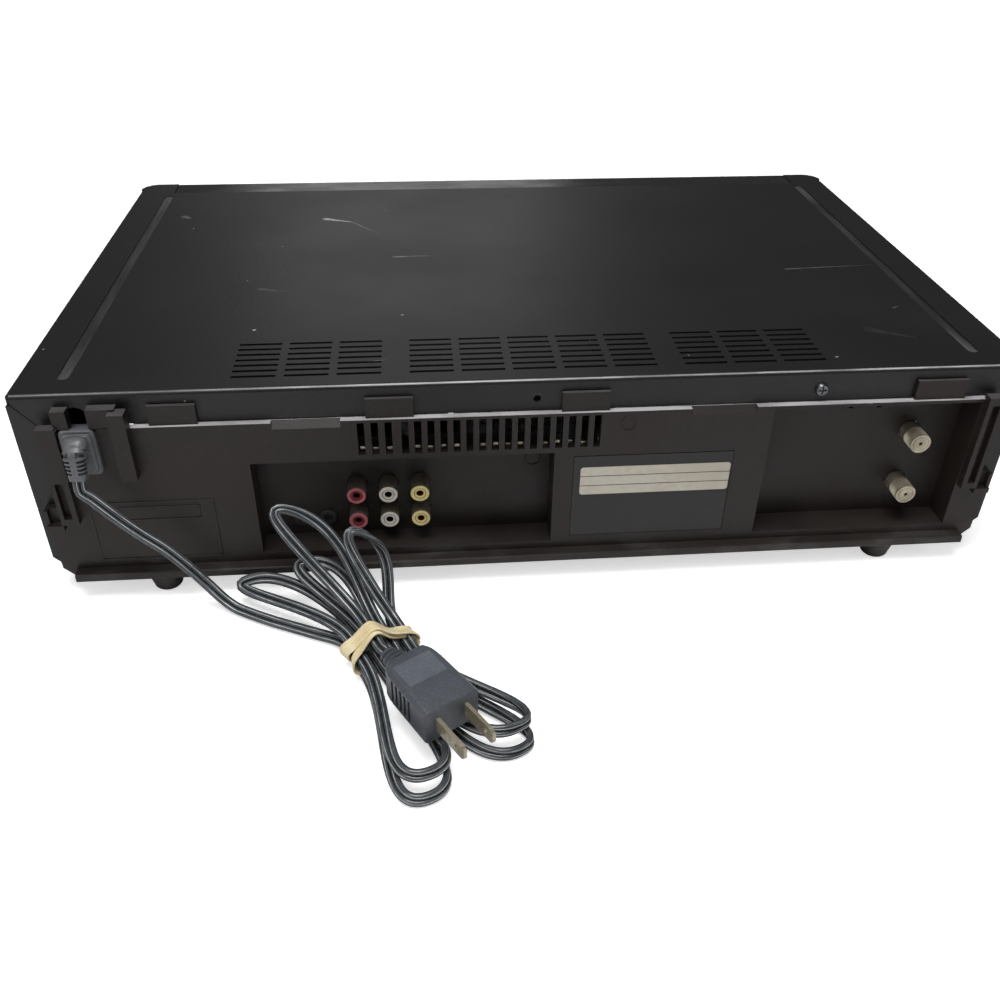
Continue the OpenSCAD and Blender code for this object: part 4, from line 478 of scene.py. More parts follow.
def loft(name, rings, closed=False):
    """A closed skin over rings of points in metres."""
    def clean(work):
        bmesh.ops.remove_doubles(work, verts=work.verts, dist=1e-7)
        outward(work)

    faces = skin(len(rings), len(rings[0]), closed)
    return edited(mesh_of(name, [p for ring in rings for p in ring], faces), clean)


def turned(name, profile, steps, centre=(0, 0, 0), axis=(0, 0, 1), closed=False):
    """A shape turned round an axis: the profile gives distance along it and radius, in millimetres."""
    way = Vector(axis).normalized()
    side = way.orthogonal().normalized()
    over = way.cross(side)
    at = Vector(centre) * MM
    rings = [[at + (way * h + (side * math.cos(a) + over * math.sin(a)) * max(r, 0.001)) * MM
              for a in (TAU * k / steps for k in range(steps))] for h, r in profile]
    return loft(name, rings, closed)


def prism(name, outline, front, back):
    """An outline of (x, z) points in millimetres, between two depths in y."""
    return loft(name, [[(x * MM, y * MM, z * MM) for x, z in outline] for y in (front, back)])


def bulged(steps, power):
    """Points of a circle of radius 1 that nears a square as the power falls."""
    for k in range(steps):
        a = TAU * (k + 0.5) / steps
        c, s = math.cos(a), math.sin(a)
        yield math.copysign(abs(c) ** power, c), math.copysign(abs(s) ** power, s)


def block(name, lo, hi, round_mm, segments=1):
    """A block between two corners in millimetres, with rounded edges."""
    lo, hi = Vector(lo) * MM, Vector(hi) * MM

    def build(work):
        bmesh.ops.create_cube(work, size=1)
        for v in work.verts:
            v.co = Vector((lo[i] + hi[i]) / 2 + v.co[i] * (hi[i] - lo[i]) for i in range(3))
        bmesh.ops.bevel(work, geom=work.edges[:], offset=round_mm * MM, segments=segments, affect="EDGES", profile=0.5)

    return edited(bpy.data.meshes.new(name), build)


def joined(name, meshes):
    """Several meshes as one."""
    return edited(bpy.data.meshes.new(name), lambda work: [work.from_mesh(mesh) for mesh in meshes])


def softened(name, node, material, width_mm):
    """A CAD part with rounded edges, in place of its node."""
    def clean(work):
        bmesh.ops.remove_doubles(work, verts=work.verts, dist=3e-6)
        bmesh.ops.dissolve_limit(work, angle_limit=math.radians(0.6), verts=work.verts, edges=work.edges)

    source = frame["nodes"][node]
    thing = piece(name, edited(source.data.copy(), clean), material, source["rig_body"], smooth=0)
    thing.data.shade_smooth()
    bevel = thing.modifiers.new("Rounded edges", "BEVEL")
    bevel.width = width_mm * MM
    bevel.segments = 2
    bevel.limit_method = "ANGLE"
    bevel.angle_limit = math.radians(32)
    flat = thing.modifiers.new("Flat faces", "WEIGHTED_NORMAL")
    flat.weight = 100
    flat.keep_sharp = True
    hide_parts(node)
    return thing


def repeated(name, material, spots, tool, way=(0, 1, 0)):
    """Copies of a small mesh on given spots in millimetres, its Z axis along one direction, as one plain mesh."""
    cloud = mesh_of(name + " spots", [Vector(spot) * MM for spot in spots], [])
    aim = cloud.attributes.new("aim", "FLOAT_VECTOR", "POINT")
    aim.data.foreach_set("vector", list(way) * len(spots))
    holder, stamp = placed(name + " spots", cloud), placed(name + " tool", tool)
    group = bpy.data.node_groups.new(name + " copies", "GeometryNodeTree")
    group.interface.new_socket("Geometry", in_out="INPUT", socket_type="NodeSocketGeometry")
    size = group.interface.new_socket("Size", in_out="INPUT", socket_type="NodeSocketFloat")
    size.default_value = 1.0
    group.interface.new_socket("Geometry", in_out="OUTPUT", socket_type="NodeSocketGeometry")
    tree = Nodes(group)
    given = tree.add("NodeGroupInput")
    shape = tree.add("GeometryNodeObjectInfo", {"Object": stamp})
    aims = tree.add("GeometryNodeInputNamedAttribute", {"Name": "aim"}, data_type="FLOAT_VECTOR")
    turn = tree.add("FunctionNodeAlignRotationToVector", {"Vector": aims.outputs["Attribute"]}, axis="Z")
    copies = tree.add("GeometryNodeInstanceOnPoints", {
        "Points": given.outputs[0], "Instance": shape.outputs["Geometry"],
        "Rotation": turn.outputs[0], "Scale": given.outputs[1]})
    real = tree.add("GeometryNodeRealizeInstances", {0: copies.outputs[0]})
    coat = tree.add("GeometryNodeSetMaterial", {"Geometry": real.outputs[0], "Material": FINISH[material]})
    tree.add("NodeGroupOutput", {0: coat.outputs[0]})
    modifier = holder.modifiers.new("Copies", "NODES")
    modifier.node_group = group
    modifier[size.identifier] = 1.0
    graph = bpy.context.evaluated_depsgraph_get()
    mesh = bpy.data.meshes.new_from_object(holder.evaluated_get(graph))
    mesh.name = name
    for helper in (holder, stamp):
        bpy.data.objects.remove(helper)
    return piece(name, mesh, material)


# ---- The cord's route, as in the CAD source, in millimetres ----

CORD_D = 5.2
CORD_R = CORD_D / 2
CORD_STEP = 1.5
WAIST = (69.0, 194.0)
# Half the straight run of a strand through the waist
WAIST_HALF = 8.0
HANK_DIR = math.radians(114)
EA = np.array([math.cos(HANK_DIR), math.sin(HANK_DIR), 0.0])
EB = np.array([-math.sin(HANK_DIR), math.cos(HANK_DIR), 0.0])
UP = np.array([0.0, 0.0, 1.0])
PLUG_DIR = math.radians(122)
PLUG_W, PLUG_H, PLUG_L = 24.0, 15.5, 32.0
PLUG_COLLAR = 13.0
RELIEF_TOP = np.array([188.5, 148.5, 82.7])
RELIEF_LEN = 14.0
LEAD_ROUTE = [
    [185.5, 153, 61], [177.5, 153.5, 51.5], [169, 154, 42.5], [160, 154, 33.5], [152, 153.5, 22.5], [146, 153.5, 13.5],
    [140, 155.5, 6.5], [134, 159, 3.4], [127, 163, 2.8], [117.5, 168.3, 2.8], [110, 172, 2.8]]
LEAD_END = np.array([98, 177.8, 2.8])
# The lead's straight run at both its ends
LEAD_STRAIGHT = CORD_D + 0.5


def unit(v):
    """A vector of length 1."""
    v = np.array(v, float)
    return v / np.linalg.norm(v)


def facing(v, way):
    """A direction, turned round if it points away from another."""
    return -v if np.dot(v, way) < 0 else v


RELIEF_DIR = unit([0, 0.2, -1])
LEAD_DIR = unit([-0.9, 0.436, 0])
PLUG_WAY = unit([math.cos(PLUG_DIR), math.sin(PLUG_DIR), 0.2])
LEAD_START = RELIEF_TOP + RELIEF_LEN * RELIEF_DIR


def strand(column, layer):
    """Where a strand passes the waist."""
    middle = np.array([*WAIST, CORD_R + 1.5 + layer * (CORD_D + 0.7)])
    return middle + EB * (CORD_D + 1.8) * (column - 1.5)


def hank_point(a, b, z):
    """A point by its distance from the waist along the hank, across it, and its height."""
    return np.array([*WAIST, z]) + a * EA + b * EB


def bezier(p, t):
    """A point of a cubic Bezier curve."""
    return (1 - t) ** 3 * p[0] + 3 * t * (1 - t) ** 2 * p[1] + 3 * t * t * (1 - t) * p[2] + t ** 3 * p[3]


def hank_path(steps):
    """Points of the hank from the lead to the plug."""
    # Strands that each loop joins, side of the waist, tip, direction there, and four lengths of handles
    loops = [
        [(0, 0), (1, 0), 1, hank_point(74.4, -13, 2.8), EB, 28, 28, 22, 19],
        [(1, 0), (0, 1), -1, (128, 149.5, 11), [0.95, 0, -0.3], 22, 26, 20, 19],
        [(0, 1), (1, 1), 1, hank_point(69, -10, 8.7), EB, 26, 26, 22, 18],
        [(1, 1), (2, 0), -1, (100, 152, 22), [-1, 0, 0], 22, 26, 18, 18],
        [(2, 0), (3, 0), 1, hank_point(71, 25, 2.8), EB, 26, 26, 19, 23],
        [(3, 0), (3, 1), -1, (76, 157, 40), [1, 0, 0.6], 22, 12, 20, 20],
        [(3, 1), (2, 1), 1, hank_point(65, 27, 8.7), -EB, 26, 26, 23, 19],
        [(2, 1), (1, 2), -1, (107, 149, 48), [1, 0, 0.35], 29, 26, 26, 22]]
    lead_in = strand(0, 0) - WAIST_HALF * EA
    start = [LEAD_END, LEAD_END + 8 * LEAD_DIR, lead_in - 8 * EA, lead_in]
    path = [bezier(start, i / 6) for i in range(7)]
    for a, b, side, tip, way, out_a, out_b, hold_a, hold_b in loops:
        way, side, tip = unit(way), side * EA, np.array(tip)
        a, b = strand(*a) + WAIST_HALF * side, strand(*b) + WAIST_HALF * side
        near = [a, a + out_a * side, tip - hold_a * way, tip]
        away = [tip, tip + hold_b * way, b + out_b * side, b]
        path += [bezier(near, k / steps) for k in range(steps + 1)]
        path += [bezier(away, k / steps) for k in range(1, steps + 1)]
    end = strand(1, 2) + WAIST_HALF * EA
    return path + [end + k / 3 * (CORD_D + 1) * PLUG_WAY for k in range(4)]


def smooth_route(points, step):
    """A smooth curve through points (Catmull-Rom), sampled about every step."""
    p = [np.array(q, float) for q in points]
    p = [2 * p[0] - p[1]] + p + [2 * p[-1] - p[-2]]
    out = []
    for a, b, c, d in zip(p, p[1:], p[2:], p[3:]):
        count = max(2, int(np.linalg.norm(c - b) / step))
        for t in (k / count for k in range(count)):
            out.append(0.5 * (2 * b + (c - a) * t + (2 * a - 5 * b + 4 * c - d) * t * t
                              + (3 * b - 3 * c + d - a) * t ** 3))
    return out + [p[-2]]


def evenly(points, step):
    """The same line with points a fixed step apart, and its length."""
    p = np.array(points)
    p = p[np.concatenate([[True], np.linalg.norm(np.diff(p, axis=0), axis=1) > 1e-6])]
    s = np.concatenate([[0], np.cumsum(np.linalg.norm(np.diff(p, axis=0), axis=1))])
    marks = np.linspace(0, s[-1], int(s[-1] / step) + 1)
    return np.stack([np.interp(marks, s, p[:, i]) for i in range(3)], -1), s[-1]


def directions(path):
    """Unit directions along a path."""
    way = np.gradient(path, axis=0)
    return way / np.linalg.norm(way, axis=1)[:, None]


def carried_frames(path):
    """Directions along a path, with two square to them that turn as little as they can."""
    way = directions(path)
    side = [unit(np.cross(way[0], UP if abs(way[0][2]) < 0.9 else [0, 1, 0]))]
    for t in way[1:]:
        side.append(unit(side[-1] - np.dot(side[-1], t) * t))
    side = np.array(side)
    return way, side, np.cross(way, side)


def cord_roll(way, side, over):
    """How far a flat cord has rolled: it bends about its broad side, and lies broad side up where it runs straight."""
    axle = np.cross(way, np.gradient(way, axis=0))
    flat = np.cross(way, unit([0, 0.6, 0.8]))
    twin = 0
    for lean, weight in ((axle, 0.6), (flat, 0.06)):
        angle = np.arctan2((lean * over).sum(1), (lean * side).sum(1))
        twin = twin + weight * np.exp(2j * angle) * np.linalg.norm(lean, axis=1)
    width = 12
    kernel = np.exp(-0.5 * (np.arange(-3 * width, 3 * width + 1) / width) ** 2)
    smooth = np.convolve(np.pad(twin, 3 * width, mode="edge"), kernel, mode="valid")
    return np.unwrap(np.angle(smooth)) / 2


def swept(name, path, outline):
    """A flat cord's section carried along a path in millimetres, with a UV map of its length."""
    way, side, over = carried_frames(path)
    roll = cord_roll(way, side, over)
    shape = np.array(outline)
    c, s = np.cos(roll)[:, None], np.sin(roll)[:, None]
    wide, thin = side * c + over * s, over * c - side * s
    rings = path[:, None] + shape[None, :, 0:1] * wide[:, None] + shape[None, :, 1:2] * thin[:, None]
    count, size = len(path), len(shape)
    mesh = mesh_of(name, (rings.reshape(-1, 3) * MM).tolist(), skin(count, size))
    spots = [(i + u, (k + v) / size) for i in range(count - 1) for k in range(size)
             for u, v in ((0, 0), (0, 1), (1, 1), (1, 0))] + [(0, 0)] * (2 * size)
    mesh.uv_layers.new(name="length").data.foreach_set("uv", [c for spot in spots for c in spot])
    return edited(mesh, outward)


def twin_outline(width, thickness, steps=12):
    """Section of a flat two-conductor cord: two round lobes that meet in a groove on each side."""
    r = thickness / 2
    reach = width / 2 - r
    open_by = math.acos(reach / r)
    out = []
    for side, start in ((1, open_by - math.pi), (-1, open_by)):
        for k in range(steps + 1):
            a = start + k / steps * 2 * (math.pi - open_by)
            out.append((side * reach + r * math.cos(a), r * math.sin(a)))
    return out


# ---- Settings ----

class RecorderStage(bpy.types.PropertyGroup):
    camera_at: FloatVectorProperty(
        name="Camera position", description="Where the camera stands", size=3, subtype="TRANSLATION", unit="LENGTH",
        default=(0.048669, 0.495595, 0.292461))
    camera_lens: FloatProperty(
        name="Lens", description="Focal length on a 36 mm wide sensor, in millimetres", default=35.303)
    camera_yaw: FloatProperty(
        name="Yaw", description="Turn of the view about the vertical", subtype="ANGLE", default=math.radians(-5.3298))
    camera_pitch: FloatProperty(
        name="Pitch", description="How far the camera looks down", subtype="ANGLE", default=math.radians(35.0076))
    camera_roll: FloatProperty(
        name="Roll", description="Lean of the camera", subtype="ANGLE", default=math.radians(0.7399))
    floor_colour: FloatVectorProperty(
        name="Floor", description="Colour of the floor", size=4, subtype="COLOR", default=colour("#f2f2f2"))
    key_power: FloatProperty(
        name="Key light", description="Power of the large light overhead", unit="POWER", default=15.0)
    fill_power: FloatProperty(
        name="Fill lights", description="Power of each light at the sides", unit="POWER", default=3.0)
    far_power: FloatProperty(
        name="Far light", description="Power of the low light beyond the case, which the cover mirrors",
        unit="POWER", default=1.5)
    sky: FloatProperty(name="Surroundings", description="Brightness of the surroundings", default=0.1)


class RecorderCase(bpy.types.PropertyGroup):
    sheet_edge: FloatProperty(
        name="Sheet edges", description="Rounding of the steel cover's edges in millimetres", default=0.25)
    moulded_edge: FloatProperty(
        name="Moulded edges", description="Rounding of the mouldings' edges in millimetres", default=0.35)
    key_edge: FloatProperty(
        name="Key edges", description="Rounding of the keys' edges in millimetres", default=0.5)


class RecorderCord(bpy.types.PropertyGroup):
    width: FloatProperty(
        name="Width", description="Width of the flat cord in millimetres", default=CORD_D)
    thickness: FloatProperty(
        name="Thickness", description="Thickness of the flat cord in millimetres", default=2.7)
    band_width: FloatProperty(
        name="Band width", description="Width of the rubber band in millimetres", default=5.8)
    band_thickness: FloatProperty(
        name="Band thickness", description="Thickness of the rubber band in millimetres", default=1.1)


# ---- Operators ----

WHITE = (1, 1, 1, 1)
FLOOR_HALF = 9
# How bright the floor shows to the camera, near the object and far from it, and those distances in metres
FLOOR_NEAR, FLOOR_FAR, FLOOR_GLOW = 0.5, 1.4, (0.6, 1.0)
LIGHTS_AIM = Vector((0, 0.05, 0.05))
# Lights: name, place and size in metres, and the setting of their power
LIGHTS = (("Key light", (0.15, 0.35, 1.35), 0.7, "key_power"), ("Left light", (1.1, 0.9, 0.9), 0.5, "fill_power"),
          ("Right light", (-1.2, 0.7, 0.8), 0.5, "fill_power"), ("Far light", (0.06, -1.7, 0.85), 0.7, "far_power"))

# Places on the rear in millimetres: its outer face, the floor of its recesses and what stands there
PANEL_Y, RECESS_Y = 140.0, 126.0
RELIEF_AT = (188.5, 140.1, 73.7)
PHONO_X, PHONO_PITCH_X = 78.8, 14.0
PHONO_Z, PHONO_PITCH_Z = 44.9, 13.5
AERIAL_X, AERIAL_Z = -174.0, (35.0, 62.5)
JACKS = ((105, 27.5), (93, 27.5))
LUG_X = [74.4, 68.7, 62.8] + [56 - 5.47 * k for k in range(16)]


class StageOperator(bpy.types.Operator):
    """Sets the camera, the pale floor and the soft lights"""
    bl_idname = "recorder.stage"
    bl_label = "Stage"

    def execute(self, context):
        settings = context.scene.recorder_stage
        yaw, pitch, roll = settings.camera_yaw, settings.camera_pitch, settings.camera_roll
        ahead = Vector((math.sin(yaw) * math.cos(pitch), -math.cos(yaw) * math.cos(pitch), -math.sin(pitch)))
        right = ahead.cross(Vector((0, 0, 1))).normalized()
        up = right.cross(ahead)
        rolled = right * math.cos(roll) + up * math.sin(roll)
        turn = Matrix((rolled, up * math.cos(roll) - right * math.sin(roll), -ahead))
        camera = placed("Camera", bpy.data.cameras.new("Camera"))
        camera.data.sensor_width = 36
        camera.data.lens = settings.camera_lens
        camera.data.clip_start = 0.01
        camera.matrix_world = Matrix.Translation(settings.camera_at) @ turn.transposed().to_4x4()
        context.scene.camera = camera

        paper = Finish("White paper floor", "#f2f2f2", 0.9, ior=1.3)
        paper.shader.inputs["Base Color"].default_value = settings.floor_colour
        seen = paper.add("ShaderNodeLightPath").outputs["Is Camera Ray"]
        away = paper.add("ShaderNodeVectorMath", {0: paper.place}, operation="LENGTH").outputs["Value"]
        glow = paper.add("ShaderNodeEmission", {
            "Color": WHITE, "Strength": paper.times(seen, paper.ramp(away, FLOOR_NEAR, FLOOR_FAR, *FLOOR_GLOW))})
        both = paper.add("ShaderNodeAddShader", {0: paper.shader.outputs[0], 1: glow.outputs[0]})
        paper.tree.links.new(both.outputs[0], paper.tree.nodes["Material Output"].inputs["Surface"])
        corners = [(x * FLOOR_HALF, y * FLOOR_HALF, 0) for x, y in ((-1, -1), (1, -1), (1, 1), (-1, 1))]
        floor = placed("Floor", mesh_of("Floor", corners, [(0, 1, 2, 3)]))
        floor.data.materials.append(paper.material)

        for name, at, size, power in LIGHTS:
            light = placed(name, bpy.data.lights.new(name, "AREA"))
            light.data.size, light.data.energy = size, getattr(settings, power)
            light.location = at
            light.rotation_euler = (LIGHTS_AIM - Vector(at)).to_track_quat("-Z", "Y").to_euler()

        world = bpy.data.worlds.new("Surroundings")
        world.use_nodes = True
        air = Nodes(world.node_tree)
        back = air.tree.nodes["Background"].inputs
        back["Color"].default_value = WHITE
        seen = air.add("ShaderNodeLightPath").outputs["Is Camera Ray"]
        air.tree.links.new(air.ramp(seen, 0.0, 1.0, settings.sky, 1.0), back["Strength"])
        context.scene.world = world
        context.scene.view_settings.view_transform = "Standard"
        return {"FINISHED"}


class CordOperator(bpy.types.Operator):
    """Makes the flat mains cord, from the strain relief through the hank to the plug"""
    bl_idname = "recorder.cord"
    bl_label = "Mains cord"

    def execute(self, context):
        settings = context.scene.recorder_cord
        lead = smooth_route([LEAD_START, LEAD_START + LEAD_STRAIGHT * RELIEF_DIR] + LEAD_ROUTE
                            + [LEAD_END - LEAD_STRAIGHT * LEAD_DIR, LEAD_END], CORD_STEP)
        path, length = evenly(lead + hank_path(40)[1:], CORD_STEP)
        mesh = swept("Mains cord", path, twin_outline(settings.width, settings.thickness))
        thing = piece("Mains_cord", mesh, "cord_vinyl", smooth=60)
        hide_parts("power_cord_lead", "power_cord_hank")
        return {"FINISHED"}


def relief_plate(name, front, back, half_wide, low, high, power):
    """A plate with round corners at the strain relief, with its rear edge softened by 0.4 mm."""
    mid, tall = RELIEF_AT[2] + (low + high) / 2, (high - low) / 2
    return loft(name, [[Vector((RELIEF_AT[0] + x * (half_wide - inset), y, mid + z * (tall - inset))) * MM
                        for x, z in bulged(64, power)]
                       for y, inset in ((front, 0), (back - 0.4, 0), (back, 0.4))])


class ReliefOperator(bpy.types.Operator):
    """Makes the cord's flange and its ribbed strain relief"""
    bl_idname = "recorder.relief"
    bl_label = "Strain relief"

    def execute(self, context):
        x, y, z = RELIEF_AT
        parts = [relief_plate("Flange", y, y + 2.4, 7.2, -8.5, 12.7, 0.22),
                 relief_plate("Step", y + 2, y + 4.0, 5.9, -6.6, 11.4, 0.26),
                 block("Neck", (x - 4.6, 134.2, z - 7.6), (x + 4.6, y + 1, z + 11.5), 0.3, 2)]
        route = smooth_route([(x, y + 2.6, z + 7.4), (x, y + 5.4, z + 7.6), (x, y + 7.8, z + 5.8),
                              RELIEF_TOP + 3.6 * RELIEF_DIR, RELIEF_TOP + 8 * RELIEF_DIR, LEAD_START], 0.2)
        path, _ = evenly(route, 0.2)
        across = np.array([1.0, 0, 0])
        rings = []
        for i, (at, way) in enumerate(zip(path, directions(path))):
            s = i / (len(path) - 1)
            face = facing(unit(np.cross(across, way)), (0, 1, 0))
            wide, deep = 5.0 - 1.5 * s, 4.0 - 1.1 * s
            # Six rows of slots on both sides of a spine
            slit = 0.62 if 0.3 < s < 0.9 and (s - 0.3) / 0.1 % 1 < 0.52 else 1.0
            spine = 0.35
            rings.append([(at + (across * u * wide + face * v * deep) * (slit if abs(u) > spine else 1.0)) * MM
                          for u, v in bulged(48, 0.7)])
        parts.append(loft("Relief", rings))
        thing = piece("Strain_relief", joined("Strain relief", parts), "relief_vinyl", smooth=28)
        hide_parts("cord_bushing")
        return {"FINISHED"}


# Section of the rubber band: across it and through it, as parts of half its width and of its thickness
BAND_SECTION = ((-1, 0.35), (-0.8, 0.5), (0, 0.42), (0.8, 0.5), (1, 0.35),
                (1, -0.35), (0.8, -0.5), (0, -0.5), (-0.8, -0.5), (-1, -0.35))
BAND_TURNS, BAND_STEPS = 2, 150


def band_point(t, thick):
    """A point of the rubber band's middle line, in millimetres, by the angle round the waist."""
    # The two turns cross on top and part at the side of the lead
    phase = (t - math.radians(75)) / 2
    lift = 0.65 + 0.65 * math.cos(phase)
    side, mid, floor_gap = 14.1, 8.0, 0.1
    b = (side + lift) * math.cos(t)
    rise = math.sin(t)
    if rise >= 0:
        top = 13.0 + 6.6 * math.exp(-((b + 3.5) / 5.8) ** 2)
        z = mid + (top - mid + lift) * rise ** 0.8
    else:
        z = mid - (6.6 - thick / 2 - floor_gap) * abs(rise) ** 0.7
    return hank_point(-(1.6 + 1.6 * (1 - math.cos(t))) * math.sin(phase), b, z)


class BandOperator(bpy.types.Operator):
    """Winds the rubber band twice round the hank's waist"""
    bl_idname = "recorder.band"
    bl_label = "Rubber band"

    def execute(self, context):
        settings = context.scene.recorder_cord
        half, thick = settings.band_width / 2, settings.band_thickness
        angles = [TAU * i / BAND_STEPS for i in range(BAND_TURNS * BAND_STEPS + 1)]
        path = np.array([band_point(t, thick) for t in angles])
        middle = hank_point(0, 0, 8.5)
        rings = []
        for t, at, way in zip(angles, path, directions(path)):
            lean = 0.35 * math.sin(t * 1.5 + 0.6)
            flat = unit(EA - np.dot(EA, way) * way)
            out = facing(np.cross(flat, way), at - middle)
            across = flat * math.cos(lean) + out * math.sin(lean)
            out = out * math.cos(lean) - flat * math.sin(lean)
            rings.append([(at + across * u * half + out * v * thick) * MM for u, v in BAND_SECTION])
        mesh = loft("Rubber band", rings[:-1])
        layer = mesh.uv_layers.new(name="length")
        size = len(BAND_SECTION)
        for face in mesh.polygons:
            for loop, corner in zip(face.loop_indices, face.vertices):
                layer.data[loop].uv = (corner // size, (corner % size) / size)
        thing = piece("Rubber_band", mesh, "band_rubber", smooth=40)
        finer = thing.modifiers.new("Finer", "SUBSURF")
        finer.levels = finer.render_levels = 1
        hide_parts("hank_band")
        return {"FINISHED"}


class PlugOperator(bpy.types.Operator):
    """Moulds the plug with its segmented relief, side grooves and grip pad"""
    bl_idname = "recorder.plug"
    bl_label = "Plug"

    def execute(self, context):
        cord_end = strand(1, 2) + WAIST_HALF * EA + (CORD_D + 1) * PLUG_WAY
        at = cord_end + PLUG_COLLAR * PLUG_WAY
        at[2] = strand(1, 1)[2] + CORD_R + 0.3
        along = np.array([math.cos(PLUG_DIR), math.sin(PLUG_DIR), 0.0])
        across = np.array([math.sin(PLUG_DIR), -math.cos(PLUG_DIR), 0.0])
        # Stations along the body: place, width and height, and the depth of the side grooves there
        stations = [(0, 17.4, 13.9, 0), (0.7, 18.6, 15.1, 0), (3, 21.0, PLUG_H, 0), (6, 22.2, PLUG_H, 0),
                    (8.2, 22.4, PLUG_H, 0)]
        for y in (9.0, 12.0, 15.0, 18.0, 21.0):
            wide = 22.2 + 1.8 * y / PLUG_L
            stations += [(y + step, wide, PLUG_H, deep)
                         for step, deep in ((-0.72, 0), (-0.7, 1.4), (0.7, 1.4), (0.72, 0))]
        stations += [(22.6, 23.5, PLUG_H, 0), (31.2, PLUG_W, PLUG_H, 0), (31.8, 23.8, 15.3, 0),
                     (PLUG_L, 23.2, 14.7, 0)]
        rings = []
        for y, w, h, groove in stations:
            ring = []
            for u, v in bulged(72, 0.16):
                px, pz = u * w / 2, v * h / 2
                if groove and abs(px) > w / 2 - 1.2 and abs(pz) < h / 2 - 2.8:
                    px -= math.copysign(groove, px)
                # Bevelled edges round the top
                bevel = max(0.0, pz - (h / 2 - 1.6)) / 1.6
                px = math.copysign(min(abs(px), w / 2 - 1.5 * bevel), px)
                ring.append((at + across * px + along * y + UP * (PLUG_H / 2 + pz)) * MM)
            rings.append(ring)
        path, _ = evenly([cord_end + PLUG_WAY * k for k in np.linspace(0, PLUG_COLLAR + 1, 60)], 0.2)
        rise = facing(unit(np.cross(across, PLUG_WAY)), UP)
        collar = []
        for i, p in enumerate(path):
            s = i / (len(path) - 1)
            wide, deep = 3.9 + 2.8 * s, 2.9 + 2.2 * s
            if 0.72 < s * 4.2 % 1 < 0.98:
                wide, deep = wide - 1.1, deep - 1.0
            collar.append([(p + across * wide * math.cos(a) + rise * deep * math.sin(a)) * MM
                           for a in (TAU * k / 36 for k in range(36))])
        mesh = joined("Plug", [loft("Body", rings), loft("Collar", collar)])
        thing = piece("Plug", mesh, "plug_vinyl", smooth=28)
        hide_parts("plug_body")
        # Ribbed grip pad let into the top
        rib = block("Rib", (-8.3, -0.2, -0.28), (8.3, 0.2, 0.22), 0.1)
        rib.transform(Matrix((across, along, UP)).transposed().to_4x4())
        repeated("Plug_grip", "grip_vinyl",
                 [at + along * (5.0 + 0.7 * i) + UP * (PLUG_H - 0.22) for i in range(18)], rib, (0, 0, 1))
        return {"FINISHED"}


class CaseOperator(bpy.types.Operator):
    """Rounds the edges of the cover, the frame and the rear panel, and gives them their finish"""
    bl_idname = "recorder.case"
    bl_label = "Case"

    def execute(self, context):
        settings = context.scene.recorder_case
        softened("Cover", "top_cover", "cover_metal", settings.sheet_edge)
        softened("Rear_panel", "rear_panel", "black_plastic", settings.moulded_edge)
        softened("Frame", "chassis_frame", "black_plastic", settings.moulded_edge)
        return {"FINISHED"}


class SocketOperator(bpy.types.Operator):
    """Adds what shows of the phono, aerial and jack sockets"""
    bl_idname = "recorder.sockets"
    bl_label = "Sockets"

    def execute(self, context):
        ring = turned("Ring", [
            (0.05, 3.5), (10.02, 3.5), (10.02, 4.02), (10.16, 4.1), (10.28, 3.95), (10.28, 2.75), (9.9, 2.66),
            (9.9, 2.46), (10.2, 2.4), (10.2, 1.75), (9.9, 1.62), (6.0, 1.58), (6.0, 0)], 40)
        # The well lines each socket's bore in a dark finish: painted shade in the hole
        well = turned("Well", [(6.1, 1.55), (9.8, 1.6), (9.8, 1.5), (6.4, 1.45), (6.4, 0)], 32)
        # Thin dark seams; in the red sockets the whole inner ring is dark
        for i, (shade, inside, top, inner) in enumerate((
                ("red", "deep_red", 10.22, 1.66), ("white", "dark_hole", 10.12, 2.44),
                ("yellow", "deep_red", 10.12, 2.44))):
            seam = turned("Seam", [(9.86, 2.75), (top, 2.72), (top, inner), (9.86, inner - 0.03)], 40, closed=True)
            both = [(PHONO_X - PHONO_PITCH_X * i, RECESS_Y, PHONO_Z - PHONO_PITCH_Z * k) for k in range(2)]
            rings = repeated(shade.capitalize() + "_insulators", shade + "_plastic", both, ring.copy())
            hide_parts("rca_" + shade)
            repeated(shade.capitalize() + "_wells", inside, both, well.copy())
            repeated(shade.capitalize() + "_seams", "deep_red", both, seam)
        # Aerial barrels: a plain foot, eight turns of thread and a rim with a groove
        profile = [(-4, 4.5), (0.1, 4.5), (0.1, 4.75), (5.2, 4.75)]
        for k in range(8):
            h = 5.3 + 0.8 * k
            profile += [(h, 4.75), (h + 0.25, 4.3), (h + 0.5, 4.3), (h + 0.75, 4.75)]
        profile += [(11.75, 4.75), (11.8, 4.35), (12.0, 4.35), (12.05, 4.72), (12.35, 4.66), (12.45, 4.5),
                    (12.45, 3.6), (12.2, 3.5), (12.2, 3.2), (12.45, 3.1), (12.45, 0.95), (12.2, 0.75)]
        # A dark disc in each barrel's centre hole: painted shade
        hole = [(12.1, 0.78), (12.32, 0.78), (12.32, 0)]
        barrels, holes = ([turned("Barrel", shape, steps, (AERIAL_X, RECESS_Y, z), (0, 1, 0)) for z in AERIAL_Z]
                          for shape, steps in ((profile, 48), (hole, 20)))
        barrel = piece("Aerial_sockets", joined("Aerial sockets", barrels), "nickel_worn", smooth=30)
        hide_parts("rf_connectors")
        piece("Aerial_holes", joined("Aerial holes", holes), "dark_hole", smooth=30)
        # Black jack rings beside the phono sockets
        ring = turned("Ring", [(0, 2.0), (1.0, 2.0), (1.3, 2.2), (1.3, 3.6), (1.0, 3.9), (0, 3.9)], 36)
        repeated("Jack_rings", "component_black", [(x, RECESS_Y - 0.1, z) for x, z in JACKS], ring)
        return {"FINISHED"}


